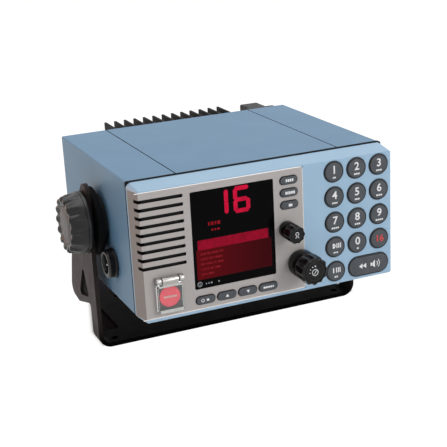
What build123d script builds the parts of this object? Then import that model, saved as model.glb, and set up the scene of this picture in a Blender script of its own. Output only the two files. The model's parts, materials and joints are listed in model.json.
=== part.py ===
from build123d import *
import math
import os

os.makedirs("parts", exist_ok=True)

# Fixed-mount VHF marine radio in its tilting bracket, in millimetres.
# +X runs to the user's right, +Y to the back and +Z up.
# The origin is on the surface that the bracket is screwed to, straight below the tilt axis.

# ---------------------------------------------------------------- fits
running_gap = 0.06          # radial, shaft in bore
moving_gap = 0.3            # between flat faces of different bodies
seat_gap = 0.1              # round a fixed piece in its opening
bonded_gap = 0.05           # radial, a piece that is glued or pressed into another

# ---------------------------------------------------------------- overall
front_width = 240.0
frame_height = 118.6        # the frame where it meets the gasket
face_slope = 4.4            # the flat front ends this far below that
face_height = frame_height - face_slope
half_width = front_width / 2
cabinet_inset = 0.9         # cabinet narrower than the frame, each side
cabinet_width = front_width - 2 * cabinet_inset
cabinet_height = frame_height + 0.2
cabinet_back = 207.0        # behind the front face
set_height = 55.0           # underside of the set above the mounting surface
pivot_set_back = 100.6      # tilt axis behind the front face
pivot_rise = 64.7           # tilt axis above the set's underside

# ---------------------------------------------------------------- bracket
arm_stand_off = 12.5        # outer face of an arm beyond the front frame
bracket_width = front_width + 2 * arm_stand_off
bracket_thickness = 4.0
bend_radius = 12.0          # outside of the bend between base and arm
base_front = -10.0
base_rear = 113.0
base_strip_depth = 29.0     # the full-width strip along the front of the base
base_step = 28.5            # the full-depth part of the base is this much narrower, each side
base_plate_width = bracket_width - 2 * base_step
base_corner = 12.0
base_notch_corner = 5.0
leg_depth = 18.4            # the arm where it meets the base
arm_top = 154.6
arm_head_depth = 13.0       # flat top of the arm
arm_head_corner = 9.0
arm_shoulder = (37.4, 119.0)
arm_elbow = (61.4, 66.0)
arm_heel = (72.0, 31.0)
arm_sole = (47.0, 27.5)
arm_notch_height = 38.5     # where the lobe runs into the leg
arm_lobe_corner = 9.0
arm_bend_corner = 30.0
arm_notch_corner = 4.0
recess_top = (24.5, 71.0)   # teardrop pressed into each arm
recess_rear = (44.5, 35.5)
recess_front = (11.5, 43.5)
recess_corner = 4.0
recess_depth = 2.2
front_hole_inset = 17.5     # from the outer face of the arm
front_hole_spacing = bracket_width - 2 * front_hole_inset
rear_hole_side = 24.0       # from the side of the full-depth part
rear_hole_spacing = base_plate_width - 2 * rear_hole_side
rear_hole_inset = 14.0      # from the base's rear edge
base_hole_radius = 3.25

# ---------------------------------------------------------------- front frame
frame_depth = 16.1
left_bevel = 4.2            # the left side leans in by this much
frame_corner = 2.0
frame_rear_corner = 5.0
frame_edge = 0.8
frame_wall = 3.0            # front wall
frame_side_wall = 2.0
frame_floor = 1.8
frame_roof = face_height - 0.5   # top of the hollow behind the front wall
boss_radius = 2.3           # screw bosses that reach the bulkhead
post_radius = 2.5           # posts that carry the front board

# ---------------------------------------------------------------- face plate
plate_thickness = 1.2
plate_right = half_width - 87.2
plate_bottom = 2.8
plate_top = face_height - 1.0
plate_wrap = 14.6           # how far it runs back round the left side
plate_corner = 2.5
slot_count = 9
slot_height = 2.9
slot_corner = 0.8
slot_top = face_height - 8.7     # centre of the top slot
slot_bottom = 47.8
slot_pitch = (slot_top - slot_bottom) / (slot_count - 1)
slot_right = 42.8 - half_width
slot_wrap = 6.5             # how far the slots run back round the left side

# ---------------------------------------------------------------- display
window_left = 48.9 - half_width
window_right = half_width - 115.2
window_bottom = 21.1
window_top = face_height - 7.6
window_corner = 1.2
window_recess = 0.35
window_lip = 1.6            # the glass reaches this far behind the plate
module_margin = 1.5
module_chin = 3.0           # display module below the window
module_gap = 0.2

# ---------------------------------------------------------------- keys
key_radius = 9.45
key_column = half_width - 57.3   # first column
key_row = face_height - 10.7     # top row
key_rows = 5
key_pitch_x = 22.25
key_pitch_z = face_height / key_rows
key_proud = 1.5
key_travel = 1.0
key_gap = 0.3               # round a key in its hole
key_edge = 0.7
ear_width = 21.0            # the ears that hold a round key in
ear_height = 8.0
ear_thickness = 1.2
side_key_width = 16.9
side_key_height = 7.3
side_key_x = half_width - 100.8
side_key_top = face_height - 11.1
side_key_pitch = 10.9
soft_key_count = 4
soft_key_pitch = (window_right - window_left + 2.3) / soft_key_count
soft_key_width = soft_key_pitch - 1.65
soft_key_height = 7.6
soft_key_left = window_left + 8.8    # centre of the first one
soft_key_z = 11.1
slim_key_lip = 0.5          # flange of the slim keys beyond their face

# ---------------------------------------------------------------- front board
mat_thickness = 1.6
board_thickness = 1.6
board_margin = 0.4
board_step_height = 41.5    # top of the board below the speaker
board_left = 14.0 - half_width
board_neck = window_left - 2.3   # left edge of the board beside the speaker
board_post_z = 12.0
low_post = (16.0 - half_width, 6.5)
step_post = (44.0 - half_width, 38.0)
boss_top = face_height - 3.0
boss_low = 8.0
screw_head_radius = 2.8
screw_head = 2.0
screw_radius = 1.4
screw_length = 4.0
thread_radius = 1.45        # hole that a screw is driven into

# ---------------------------------------------------------------- rotary controls
volume_x = half_width - 91.9
volume_z = 27.2
volume_radius = 12.8
volume_length = 28.0
volume_flutes = 12
squelch_x = half_width - 104.2
squelch_z = face_height - 54.2
squelch_radius = 7.9
squelch_length = 20.7
squelch_flutes = 10
flute_share = 0.11          # depth of a flute against the knob's radius
knob_clearance = 0.7        # between knob and face
knob_hollow = 5.6
knob_cap = 5.0              # solid end of a knob, past its spindle
flute_spread = 2.0          # radius of a flute against its depth
spindle_radius = 3.0
bushing_radius = 4.5
bushing_reach = 4.6         # ahead of the face
control_size = 14.0
control_floor = 0.9

# ---------------------------------------------------------------- distress button and its cover
distress_x = 25.6 - half_width
distress_z = 20.9
distress_radius = 8.8
distress_proud = 0.6        # ahead of the bezel
distress_lip = 1.0
bezel_width = 24.4
bezel_bottom = 8.0
bezel_top = 33.0
bezel_thickness = 0.9
bezel_corner = 2.0
hinge_z = 36.4
hinge_out = 3.4             # hinge pin ahead of the face
knuckle_radius = 3.0
hinge_pin_radius = 1.0
hinge_pin_end = 0.5         # pin beyond the outer knuckles
lid_knuckle = 14.6          # middle knuckle, on the cover
lid_width = 23.6
lid_bottom = 8.4
lid_top = 32.6
lid_front = 5.2             # outer face of the cover ahead of the front face
lid_wall = 1.2
knuckle_clear = 0.8         # between the knuckles
lid_edge = 0.6

# ---------------------------------------------------------------- speaker
speaker_x = 25.8 - half_width
speaker_z = face_height - 38.2
speaker_width = 36.0
speaker_margin = 2.15       # beyond the middle of the outer slots
speaker_height = slot_top - slot_bottom + 2 * speaker_margin
speaker_corner = 6.0
speaker_flange = 1.5
speaker_throat = 11.5       # radius at the back of the basket
speaker_mouth = 16.5        # radius at its flange
speaker_depth = 13.0
magnet_radius = 14.0
magnet_depth = 9.0
cone_hollow = 8.0
cone_throat = 5.5
cloth_thickness = 0.5

# ---------------------------------------------------------------- cabinet
cabinet_bottom = 1.4
gasket_thickness = 4.0
gasket_proud = 0.3          # beyond the covers
gasket_band = 3.0
sheet = 1.5
left_seam = 45.7 - half_width
right_seam = half_width - 42.4
seam_gap = 1.0
ledge_inner = 8.0           # ledge under the centre cover, each side of the seam
ledge_outer = 4.0
cover_corner = 1.5
cover_flange = 12.0
inset_ends = 3.0            # ledges and upturns stop short of the end plates
upturn = 11.0
bulkhead_rim = 7.5
bulkhead_top_rim = 12.0
rear_plate = 4.0
rear_plate_proud = 0.4
standoff_radius = 3.0
standoff_height = 9.0
board_side_gap = 24.1       # main board in from the cabinet's sides
main_board_width = cabinet_width - 2 * board_side_gap
main_board_front = 30.0     # behind the front face
board_rear_gap = 27.0
main_board_depth = cabinet_back - main_board_front - board_rear_gap
standoff_inset = 8.0
fin_count = 13
fin_pitch = 10.22
fin_first = -64.5
fin_reach = cabinet_back + 33.0  # fin tips behind the front face
fin_thickness = 2.2
fin_bottom = 6.0

# ---------------------------------------------------------------- clamps
hub_radius = 24.0
disc_radius = 30.7
disc_thickness = 4.5
stud_radius = 4.0
stud_hole_radius = 4.6
stud_inside = 14.0          # stud inside the cabinet's side
stud_in_knob = 12.0
bush_radius = 8.0
bush_flange_radius = 11.0
bush_flange = 3.0
bush_length = 16.0
clamp_knob_length = 20.4
clamp_collar_radius = 28.4
clamp_collar = 5.0
clamp_collar_edge = 1.2
clamp_body_radius = 27.0
clamp_face_radius = 24.0
clamp_lobe_radius = 3.4
clamp_lobe_count = 14
clamp_face_edge = 1.0
clamp_dish_radius = 17.2
clamp_dish = 1.0

# ---------------------------------------------------------------- sockets and rear fittings
handset_set_back = 68.0     # behind the front face
handset_z = 34.0
handset_radius = 13.6
handset_proud = 8.6
handset_edge = 2.0
handset_bore = 8.6
handset_bore_depth = 6.0
handset_spigot = 8.0
rear_left_x = 25.0 - half_width
antenna_z = 86.0
antenna_flange = 25.4
antenna_radius = 7.9
antenna_length = 17.0
antenna_bore = 5.6
antenna_bore_depth = 12.0
antenna_contact = 2.0
power_z = 42.0
power_flange = 28.0
power_radius = 11.0
power_length = 12.0
power_bore = 8.6
power_bore_depth = 9.0
power_pin_radius = 1.5
power_pin_circle = 4.5
power_pin_count = 3
spigot_radius = 6.0
spigot_inside = 5.0
rear_flange = 2.0
flange_corner = 2.0
hood_left = half_width - 38.0
hood_right = half_width - 18.0
hood_bottom = 74.0
hood_top = cabinet_height - 0.4
hood_reach = 28.0
hood_flange_left = half_width - 42.0
hood_flange_right = half_width - 10.0
hood_flange_bottom = 70.0
hood_flange = 6.0
hood_edge = 1.5
earth_x = half_width - 26.0
earth_z = 38.0
earth_radius = 3.0
earth_length = 18.0
earth_nut_radius = 5.5
earth_nut = 4.5

# ---------------------------------------------------------------- derived places
hoop_front = base_front - bend_radius
hoop_rear = base_rear + bend_radius
pivot_height = set_height + pivot_rise
front_y = -pivot_set_back
pocket_right = half_width - frame_side_wall
lean = left_bevel / frame_depth
arm_outer = bracket_width / 2
arm_inner = arm_outer - bracket_thickness
base_strip_end = arm_outer - bend_radius
side_x = cabinet_width / 2
side_inner = side_x - sheet
disc_inner = arm_inner - disc_thickness
hub_outer = disc_inner - moving_gap
knob_inner = arm_outer + moving_gap
cover_front = frame_depth + gasket_thickness
bulkhead_back = cover_front + sheet
rear_front = cabinet_back + rear_plate_proud - rear_plate
rear_back = cabinet_back + rear_plate_proud
tray_top = cabinet_bottom + 2 * sheet
inner_top = cabinet_height - sheet - seat_gap
inner_bottom = tray_top + seat_gap
inner_half = side_inner - seat_gap
ledge_top = cabinet_height - sheet
key_back = frame_wall + moving_gap + ear_thickness
mat_front = key_back + key_travel + moving_gap
board_front = mat_front + mat_thickness
board_back = board_front + board_thickness
main_board_bottom = tray_top + standoff_height
main_board_y = front_y + main_board_front + main_board_depth / 2
bezel_front = bezel_thickness + moving_gap
sides = (("left", -1), ("right", 1))

round_keys = {
    "key_1": (0, 0), "key_2": (1, 0), "key_3": (2, 0),
    "key_4": (0, 1), "key_5": (1, 1), "key_6": (2, 1),
    "key_7": (0, 2), "key_8": (1, 2), "key_9": (2, 2),
    "key_watch": (0, 3), "key_0": (1, 3), "key_16": (2, 3),
    "key_power": (0, 4),
}
side_keys = {"side_key_%d" % (n + 1): (side_key_x, side_key_top - n * side_key_pitch) for n in range(3)}
soft_keys = {
    "soft_key_%d" % (n + 1): (soft_key_left + n * soft_key_pitch, soft_key_z) for n in range(soft_key_count)
}


def key_place(column, row):
    return (key_column + column * key_pitch_x, key_row - row * key_pitch_z)


wide_key_left = key_place(1, 4)
wide_key_place = (wide_key_left[0] + key_pitch_x / 2, wide_key_left[1])
between_columns = key_column + key_pitch_x / 2
between_rows = key_row - key_pitch_z / 2
board_post_x = (plate_right + key_column - key_radius) / 2
board_posts = [
    (board_post_x, window_top), (board_post_x, board_post_z), (between_columns, between_rows),
    (between_columns + key_pitch_x, between_rows - 2 * key_pitch_z), step_post, low_post,
]
main_board_holes = [
    (x, y)
    for x in (standoff_inset - main_board_width / 2, main_board_width / 2 - standoff_inset)
    for y in (standoff_inset - main_board_depth / 2, 0, main_board_depth / 2 - standoff_inset)
]
boss_left = left_bevel - half_width + 15.8
boss_middle = plate_right - 8.8
boss_right = half_width - 7.2
frame_bosses = [
    (boss_left, boss_top), (boss_middle, boss_top), (boss_right, between_rows),
    (boss_right, between_rows - 3 * key_pitch_z), (boss_middle, boss_low), (board_neck - 3.1, boss_low),
]


def front(depth):
    """Plane behind the front face, facing the user: local x is +X, local y the height above the underside."""
    return Plane(origin=(0, front_y + depth, set_height), x_dir=(1, 0, 0), z_dir=(0, -1, 0))


def level(height):
    """Horizontal plane above the set's underside: local x is +X, local y the distance behind the front face."""
    return Plane(origin=(0, front_y, set_height + height), x_dir=(1, 0, 0), z_dir=(0, 0, 1))


def beside(side, reach):
    """Plane square to the tilt axis, facing outwards on one side; its origin is on the axis."""
    return Plane(origin=(side * reach, 0, pivot_height), x_dir=(0, side, 0), z_dir=(side, 0, 0))


def left_face(depth, inset=0.0):
    """X of the frame's leaning left side at a depth, or of a surface set in from it."""
    return left_bevel - half_width - depth * lean + inset * math.hypot(1, lean)


def outline(left, right, bottom, top, corner=0.0, mode=Mode.ADD):
    """Rectangle given by its four sides, in the current sketch."""
    with Locations(((left + right) / 2, (bottom + top) / 2)):
        if corner:
            RectangleRounded(right - left, top - bottom, corner, mode=mode)
        else:
            Rectangle(right - left, top - bottom, mode=mode)


def window_outline(margin=0.0):
    outline(window_left - margin, window_right + margin, window_bottom - margin, window_top + margin,
            window_corner)


def wide_key_outline(margin=0.0):
    with Locations(wide_key_place):
        SlotCenterToCenter(key_pitch_x, 2 * (key_radius + margin))


def slim_key_outline(place, width, height, margin=0.0):
    with Locations(place):
        SlotOverall(width + 2 * margin, height + 2 * margin)


def plate_openings():
    """Everything that passes through the face plate, except the window and the sound slots."""
    for place in side_keys.values():
        slim_key_outline(place, side_key_width, side_key_height, key_gap)
    for place in soft_keys.values():
        slim_key_outline(place, soft_key_width, soft_key_height, key_gap)
    with Locations((volume_x, volume_z), (squelch_x, squelch_z)):
        Circle(bushing_radius + seat_gap)
    with Locations((distress_x, distress_z)):
        Circle(distress_radius + key_gap)


def slot_outlines():
    """The sound slots, run out past the left side."""
    for n in range(slot_count):
        height = slot_top - n * slot_pitch
        outline(-front_width, slot_right, height - slot_height / 2, height + slot_height / 2, slot_corner)


def plate_section(gap=0.0):
    """Plan of the face plate: along the front and back round the leaning left side."""
    with BuildLine() as plan:
        Polyline(
            (plate_right + gap, 0), (left_face(0), 0), (left_face(plate_wrap + gap), plate_wrap + gap),
            (left_face(plate_wrap + gap, plate_thickness), plate_wrap + gap),
            (left_face(plate_thickness, plate_thickness), plate_thickness),
            (plate_right + gap, plate_thickness), close=True,
        )
    make_face(plan.edges())


def write(piece, name):
    piece.part.label = name
    export_step(piece.part, "parts/%s.step" % name)


# ================================================================ bracket
with BuildPart() as bracket:
    with BuildSketch(Plane.YZ.offset(-arm_outer)) as arm_side:
        with BuildLine():
            Polyline(
                (base_front, 0), (base_front, arm_top), (base_front + arm_head_depth, arm_top), arm_shoulder,
                arm_elbow, arm_heel, arm_sole, (base_front + leg_depth, arm_notch_height),
                (base_front + leg_depth, 0), close=True,
            )
        make_face()
        fillet(arm_side.vertices().sort_by(Axis.Y)[-2:], arm_head_corner)
        rounded = (
            (arm_shoulder, arm_bend_corner), (arm_elbow, arm_bend_corner), (arm_heel, arm_lobe_corner),
            (arm_sole, arm_lobe_corner), ((base_front + leg_depth, arm_notch_height), arm_notch_corner),
        )
        for place, radius in rounded:
            fillet(arm_side.vertices().sort_by_distance(place)[0], radius)
    extrude(amount=bracket_width)
    with BuildSketch(Plane.XZ.offset(-hoop_rear)) as hoop:
        outline(-arm_outer, arm_outer, 0, 2 * arm_top, bend_radius)
        with Locations((0, arm_top + bracket_thickness)):
            RectangleRounded(2 * arm_inner, 2 * arm_top, bend_radius - bracket_thickness, mode=Mode.SUBTRACT)
    extrude(amount=hoop_rear - hoop_front, mode=Mode.INTERSECT)
    with BuildSketch(Plane.XY) as base:
        outline(-base_plate_width / 2, base_plate_width / 2, base_front, base_rear)
        outline(-base_strip_end, base_strip_end, base_front, base_front + base_strip_depth)
        fillet(base.vertices().group_by(Axis.Y)[-1], base_corner)
        for side in (-1, 1):
            for reach in (base_plate_width / 2, base_strip_end):
                notch = (side * reach, base_front + base_strip_depth)
                fillet(base.vertices().sort_by_distance(notch)[0], base_notch_corner)
    extrude(amount=bracket_thickness)
    with Locations((0, 0, bracket_thickness)):
        with GridLocations(front_hole_spacing, 1, 2, 1):
            Hole(base_hole_radius)
    with Locations((0, base_rear - rear_hole_inset, bracket_thickness)):
        with GridLocations(rear_hole_spacing, 1, 2, 1):
            Hole(base_hole_radius)
    for name, side in sides:
        with BuildSketch(beside(side, arm_inner)):
            Circle(stud_hole_radius)
        extrude(amount=bracket_thickness, mode=Mode.SUBTRACT)
        with BuildSketch(Plane.YZ.offset(side * arm_outer)) as recess:
            with BuildLine():
                Polyline(recess_top, recess_rear, recess_front, close=True)
            make_face()
            fillet(recess.vertices(), recess_corner)
        extrude(amount=-side * recess_depth, mode=Mode.SUBTRACT)
write(bracket, "bracket")

# ================================================================ clamps
with BuildPart() as friction_discs:
    for name, side in sides:
        with BuildSketch(beside(side, disc_inner)):
            Circle(disc_radius)
            Circle(stud_hole_radius, mode=Mode.SUBTRACT)
        extrude(amount=disc_thickness)
write(friction_discs, "friction_discs")

with BuildPart() as hubs:
    for name, side in sides:
        with BuildSketch(beside(side, side_x)):
            Circle(hub_radius)
            Circle(stud_hole_radius, mode=Mode.SUBTRACT)
        extrude(amount=hub_outer - side_x)
write(hubs, "hubs")

with BuildPart() as threaded_bushes:
    for name, side in sides:
        with BuildSketch(beside(side, side_inner)):
            Circle(bush_flange_radius)
        extrude(amount=-bush_flange)
        with BuildSketch(beside(side, side_inner)):
            Circle(bush_radius)
        extrude(amount=-bush_length)
        with BuildSketch(beside(side, side_inner)):
            Circle(stud_radius + running_gap)
        extrude(amount=-bush_length, mode=Mode.SUBTRACT)
write(threaded_bushes, "threaded_bushes")

for name, side in sides:
    with BuildPart() as clamp_stud:
        with BuildSketch(beside(side, side_inner - stud_inside)):
            Circle(stud_radius)
        extrude(amount=knob_inner + stud_in_knob - side_inner + stud_inside)
    write(clamp_stud, "%s_clamp_stud" % name)

    with BuildPart() as clamp_knob:
        with BuildSketch(beside(side, knob_inner)):
            Circle(clamp_collar_radius)
        extrude(amount=clamp_collar)
        fillet(clamp_knob.edges(), clamp_collar_edge)
        with BuildSketch(beside(side, knob_inner + clamp_collar)):
            Circle(clamp_body_radius)
        with BuildSketch(beside(side, knob_inner + clamp_knob_length)):
            Circle(clamp_face_radius)
        loft()
        with BuildSketch(beside(side, knob_inner + clamp_collar)):
            with PolarLocations(clamp_face_radius - clamp_lobe_radius / 2, clamp_lobe_count):
                Circle(clamp_lobe_radius)
        extrude(amount=clamp_knob_length - clamp_collar - clamp_face_edge)
        with BuildSketch(beside(side, knob_inner + clamp_knob_length)):
            Circle(clamp_dish_radius)
        extrude(amount=-clamp_dish, mode=Mode.SUBTRACT)
        with BuildSketch(beside(side, knob_inner)):
            Circle(stud_radius + bonded_gap)
        extrude(amount=stud_in_knob + seat_gap, mode=Mode.SUBTRACT)
    write(clamp_knob, "%s_clamp_knob" % name)

# ================================================================ front frame
with BuildPart() as front_frame:
    with BuildSketch(front(0)):
        outline(left_face(0), half_width, 0, face_height, frame_corner)
    with BuildSketch(front(frame_depth)):
        outline(-half_width, half_width, 0, frame_height, frame_rear_corner)
    loft(ruled=True)
    fillet(front_frame.faces().sort_by(Axis.Y)[0].edges(), frame_edge)
    # hollow behind the front wall
    with BuildSketch(level(frame_floor)):
        with BuildLine():
            Polyline(
                (pocket_right, frame_wall), (left_face(frame_wall, frame_wall), frame_wall),
                (left_face(frame_depth, frame_wall), frame_depth), (pocket_right, frame_depth), close=True,
            )
        make_face()
    extrude(amount=frame_roof - frame_floor, mode=Mode.SUBTRACT)
    # seat of the face plate
    with BuildSketch(level(plate_bottom - seat_gap)):
        plate_section(seat_gap)
    extrude(amount=plate_top - plate_bottom + 2 * seat_gap, mode=Mode.SUBTRACT)
    # openings
    with BuildSketch(front(frame_wall)):
        plate_openings()
        window_outline(window_lip + seat_gap)
        for column, row in round_keys.values():
            with Locations(key_place(column, row)):
                Circle(key_radius + key_gap)
        wide_key_outline(key_gap)
    extrude(amount=2 * frame_wall, mode=Mode.SUBTRACT)
    with BuildSketch(front(slot_wrap)):
        slot_outlines()
    extrude(amount=2 * slot_wrap, mode=Mode.SUBTRACT)
    # screw bosses and board posts
    with BuildSketch(front(cover_front)):
        with Locations(*frame_bosses):
            Circle(boss_radius)
            Circle(thread_radius, mode=Mode.SUBTRACT)
    extrude(amount=cover_front - frame_wall)
    with BuildSketch(front(board_front)):
        with Locations(*board_posts):
            Circle(post_radius)
            Circle(thread_radius, mode=Mode.SUBTRACT)
    extrude(amount=board_front - frame_wall)
write(front_frame, "front_frame")

with BuildPart() as face_plate:
    with BuildSketch(level(plate_bottom)):
        plate_section()
    extrude(amount=plate_top - plate_bottom)
    fillet(face_plate.edges().filter_by(Axis.Z).sort_by_distance((left_face(0), front_y, pivot_height))[0],
           frame_edge)
    fillet(face_plate.edges().filter_by(Axis.Y).sort_by(Axis.X)[-2:], plate_corner)
    with BuildSketch(front(frame_wall)):
        plate_openings()
        window_outline()
    extrude(amount=2 * frame_wall, mode=Mode.SUBTRACT)
    with BuildSketch(front(slot_wrap)):
        slot_outlines()
    extrude(amount=2 * slot_wrap, mode=Mode.SUBTRACT)
write(face_plate, "face_plate")

# ================================================================ display
with BuildPart() as display_window:
    with BuildSketch(front(plate_thickness)):
        window_outline(-seat_gap)
    extrude(amount=plate_thickness - window_recess)
    with BuildSketch(front(frame_wall)):
        window_outline(window_lip)
    extrude(amount=frame_wall - plate_thickness)
write(display_window, "display_window")

with BuildPart() as display_module:
    with BuildSketch(front(board_front)):
        outline(window_left - module_margin, window_right + module_margin, window_bottom - module_chin,
                window_top + module_margin)
    extrude(amount=board_front - frame_wall - module_gap)
write(display_module, "display_module")

# ================================================================ keys
for name, (column, row) in round_keys.items():
    place = key_place(column, row)
    with BuildPart() as round_key:
        with BuildSketch(front(key_back)):
            with Locations(place):
                Circle(key_radius)
        extrude(amount=key_back + key_proud)
        fillet(round_key.faces().sort_by(Axis.Y)[0].edges(), key_edge)
        with BuildSketch(front(key_back)):
            with Locations(place):
                Rectangle(ear_width, ear_height)
        extrude(amount=ear_thickness)
    write(round_key, name)

with BuildPart() as wide_key:
    with BuildSketch(front(key_back)):
        wide_key_outline()
    extrude(amount=key_back + key_proud)
    fillet(wide_key.faces().sort_by(Axis.Y)[0].edges(), key_edge)
    with BuildSketch(front(key_back)):
        with Locations(wide_key_place):
            Rectangle(key_pitch_x + ear_width, ear_height)
    extrude(amount=ear_thickness)
write(wide_key, "key_wide")

slim_keys = [(name, place, side_key_width, side_key_height) for name, place in side_keys.items()]
slim_keys += [(name, place, soft_key_width, soft_key_height) for name, place in soft_keys.items()]
for name, place, width, height in slim_keys:
    with BuildPart() as slim_key:
        with BuildSketch(front(key_back)):
            slim_key_outline(place, width, height)
        extrude(amount=key_back + key_proud)
        fillet(slim_key.faces().sort_by(Axis.Y)[0].edges(), key_edge)
        with BuildSketch(front(key_back)):
            slim_key_outline(place, width, height, slim_key_lip)
        extrude(amount=ear_thickness)
    write(slim_key, name)

# ================================================================ front board
def board_outline():
    """Front board: full height beside the speaker, and a step below it."""
    outline(board_neck, pocket_right - board_margin, frame_floor + board_margin, frame_roof - board_margin)
    outline(board_left, board_neck, frame_floor + board_margin, board_step_height)


with BuildPart() as front_board:
    with BuildSketch(front(board_back)):
        board_outline()
        with Locations(*frame_bosses):
            Circle(boss_radius + board_margin, mode=Mode.SUBTRACT)
        with Locations(*board_posts):
            Circle(screw_radius + seat_gap, mode=Mode.SUBTRACT)
    extrude(amount=board_thickness)
write(front_board, "front_board")

with BuildPart() as keypad_mat:
    with BuildSketch(front(board_front)):
        board_outline()
        outline(window_left - module_margin - board_margin, window_right + module_margin + board_margin,
                window_bottom - module_chin - board_margin, frame_roof, mode=Mode.SUBTRACT)
        with Locations(*frame_bosses, *board_posts):
            Circle(post_radius + board_margin, mode=Mode.SUBTRACT)
        with Locations((volume_x, volume_z), (squelch_x, squelch_z)):
            Rectangle(control_size + 2 * board_margin, control_size + 2 * board_margin, mode=Mode.SUBTRACT)
    extrude(amount=mat_thickness)
write(keypad_mat, "keypad_mat")

# ================================================================ rotary controls
with BuildPart() as rotary_controls:
    for place in ((volume_x, volume_z), (squelch_x, squelch_z)):
        with BuildSketch(front(board_front)):
            with Locations(place):
                Rectangle(control_size, control_size)
        extrude(amount=board_front - frame_wall)
        with BuildSketch(front(frame_wall)):
            with Locations(place):
                Circle(bushing_radius)
        extrude(amount=frame_wall + bushing_reach)
        with BuildSketch(front(board_front - control_floor)):
            with Locations(place):
                Circle(spindle_radius + running_gap)
        extrude(amount=board_front + bushing_reach, mode=Mode.SUBTRACT)
write(rotary_controls, "rotary_controls")

rotary_knobs = (
    ("volume", (volume_x, volume_z), volume_radius, volume_length, volume_flutes),
    ("squelch", (squelch_x, squelch_z), squelch_radius, squelch_length, squelch_flutes),
)
for name, place, radius, length, flutes in rotary_knobs:
    with BuildPart() as spindle:
        with BuildSketch(front(board_front - control_floor - moving_gap)):
            with Locations(place):
                Circle(spindle_radius)
        extrude(amount=board_front - control_floor - moving_gap + length - knob_cap)
    write(spindle, "%s_spindle" % name)

    flute_depth = radius * flute_share
    with BuildPart() as knob:
        with BuildSketch(front(-knob_clearance)):
            with Locations(place):
                Circle(radius)
            with Locations(place):
                with PolarLocations(radius + flute_depth, flutes):
                    Circle(flute_spread * flute_depth, mode=Mode.SUBTRACT)
        extrude(amount=length - knob_clearance)
        with BuildSketch(front(-knob_clearance)):
            with Locations(place):
                Circle(bushing_radius + knob_clearance)
        extrude(amount=knob_hollow, mode=Mode.SUBTRACT)
        with BuildSketch(front(-knob_clearance)):
            with Locations(place):
                Circle(spindle_radius + bonded_gap)
        extrude(amount=length - knob_cap - knob_clearance + seat_gap, mode=Mode.SUBTRACT)
    write(knob, "%s_knob" % name)

# ================================================================ distress button and its cover
with BuildPart() as distress_button:
    with BuildSketch(front(key_back)):
        with Locations((distress_x, distress_z)):
            Circle(distress_radius)
    extrude(amount=key_back + bezel_thickness + distress_proud)
    fillet(distress_button.faces().sort_by(Axis.Y)[0].edges(), key_edge)
    with BuildSketch(front(key_back)):
        with Locations((distress_x, distress_z)):
            Circle(distress_radius + distress_lip)
    extrude(amount=ear_thickness)
write(distress_button, "distress_button")


def across(x):
    """Plane square to the hinge pin: local x is the distance behind the front face, local y the height."""
    return Plane(origin=(x, front_y, set_height), x_dir=(0, 1, 0), z_dir=(1, 0, 0))


bezel_left = distress_x - bezel_width / 2
lid_left = distress_x - lid_width / 2
knuckle_gap = lid_knuckle / 2 + knuckle_clear
with BuildPart() as distress_bezel:
    with BuildSketch(front(0)):
        outline(bezel_left, bezel_left + bezel_width, bezel_bottom, bezel_top, bezel_corner)
        with Locations((distress_x, distress_z)):
            Circle(distress_radius + key_gap, mode=Mode.SUBTRACT)
    extrude(amount=bezel_thickness)
    # outer knuckles, each on its foot
    for start, width in ((bezel_left, bezel_width / 2 - knuckle_gap),
                         (distress_x + knuckle_gap, bezel_width / 2 - knuckle_gap)):
        with BuildSketch(across(start)):
            with Locations((-hinge_out, hinge_z)):
                Circle(knuckle_radius)
            outline(-hinge_out, 0, hinge_z - knuckle_radius, hinge_z + knuckle_radius)
            outline(-bezel_thickness, 0, bezel_top - bezel_corner, hinge_z)
            with Locations((-hinge_out, hinge_z)):
                Circle(hinge_pin_radius + bonded_gap, mode=Mode.SUBTRACT)
        extrude(amount=width)
write(distress_bezel, "distress_bezel")

with BuildPart() as distress_hinge_pin:
    with BuildSketch(across(bezel_left - hinge_pin_end)):
        with Locations((-hinge_out, hinge_z)):
            Circle(hinge_pin_radius)
    extrude(amount=bezel_width + 2 * hinge_pin_end)
write(distress_hinge_pin, "distress_hinge_pin")

with BuildPart() as distress_cover:
    with BuildSketch(front(-bezel_front)):
        outline(lid_left, lid_left + lid_width, lid_bottom, lid_top, bezel_corner)
    extrude(amount=lid_front - bezel_front)
    fillet(distress_cover.faces().sort_by(Axis.Y)[0].edges(), lid_edge)
    with BuildSketch(front(-bezel_front)):
        outline(lid_left + lid_wall, lid_left + lid_width - lid_wall, lid_bottom + lid_wall, lid_top - lid_wall,
                bezel_corner - lid_wall)
    extrude(amount=lid_front - bezel_front - lid_wall, mode=Mode.SUBTRACT)
    # middle knuckle
    with BuildSketch(across(distress_x - lid_knuckle / 2)):
        with Locations((-hinge_out, hinge_z)):
            Circle(knuckle_radius)
        outline(-hinge_out - knuckle_radius, -hinge_out, lid_top - lid_wall, hinge_z)
        with Locations((-hinge_out, hinge_z)):
            Circle(hinge_pin_radius + running_gap, mode=Mode.SUBTRACT)
    extrude(amount=lid_knuckle)
write(distress_cover, "distress_cover")

# ================================================================ speaker
speaker_left = speaker_x - speaker_width / 2
speaker_low = speaker_z - speaker_height / 2
speaker_front = frame_wall + cloth_thickness
with BuildPart() as speaker_cloth:
    with BuildSketch(front(speaker_front)):
        outline(speaker_left, speaker_left + speaker_width, speaker_low, speaker_low + speaker_height)
    extrude(amount=cloth_thickness)
write(speaker_cloth, "speaker_cloth")

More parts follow.
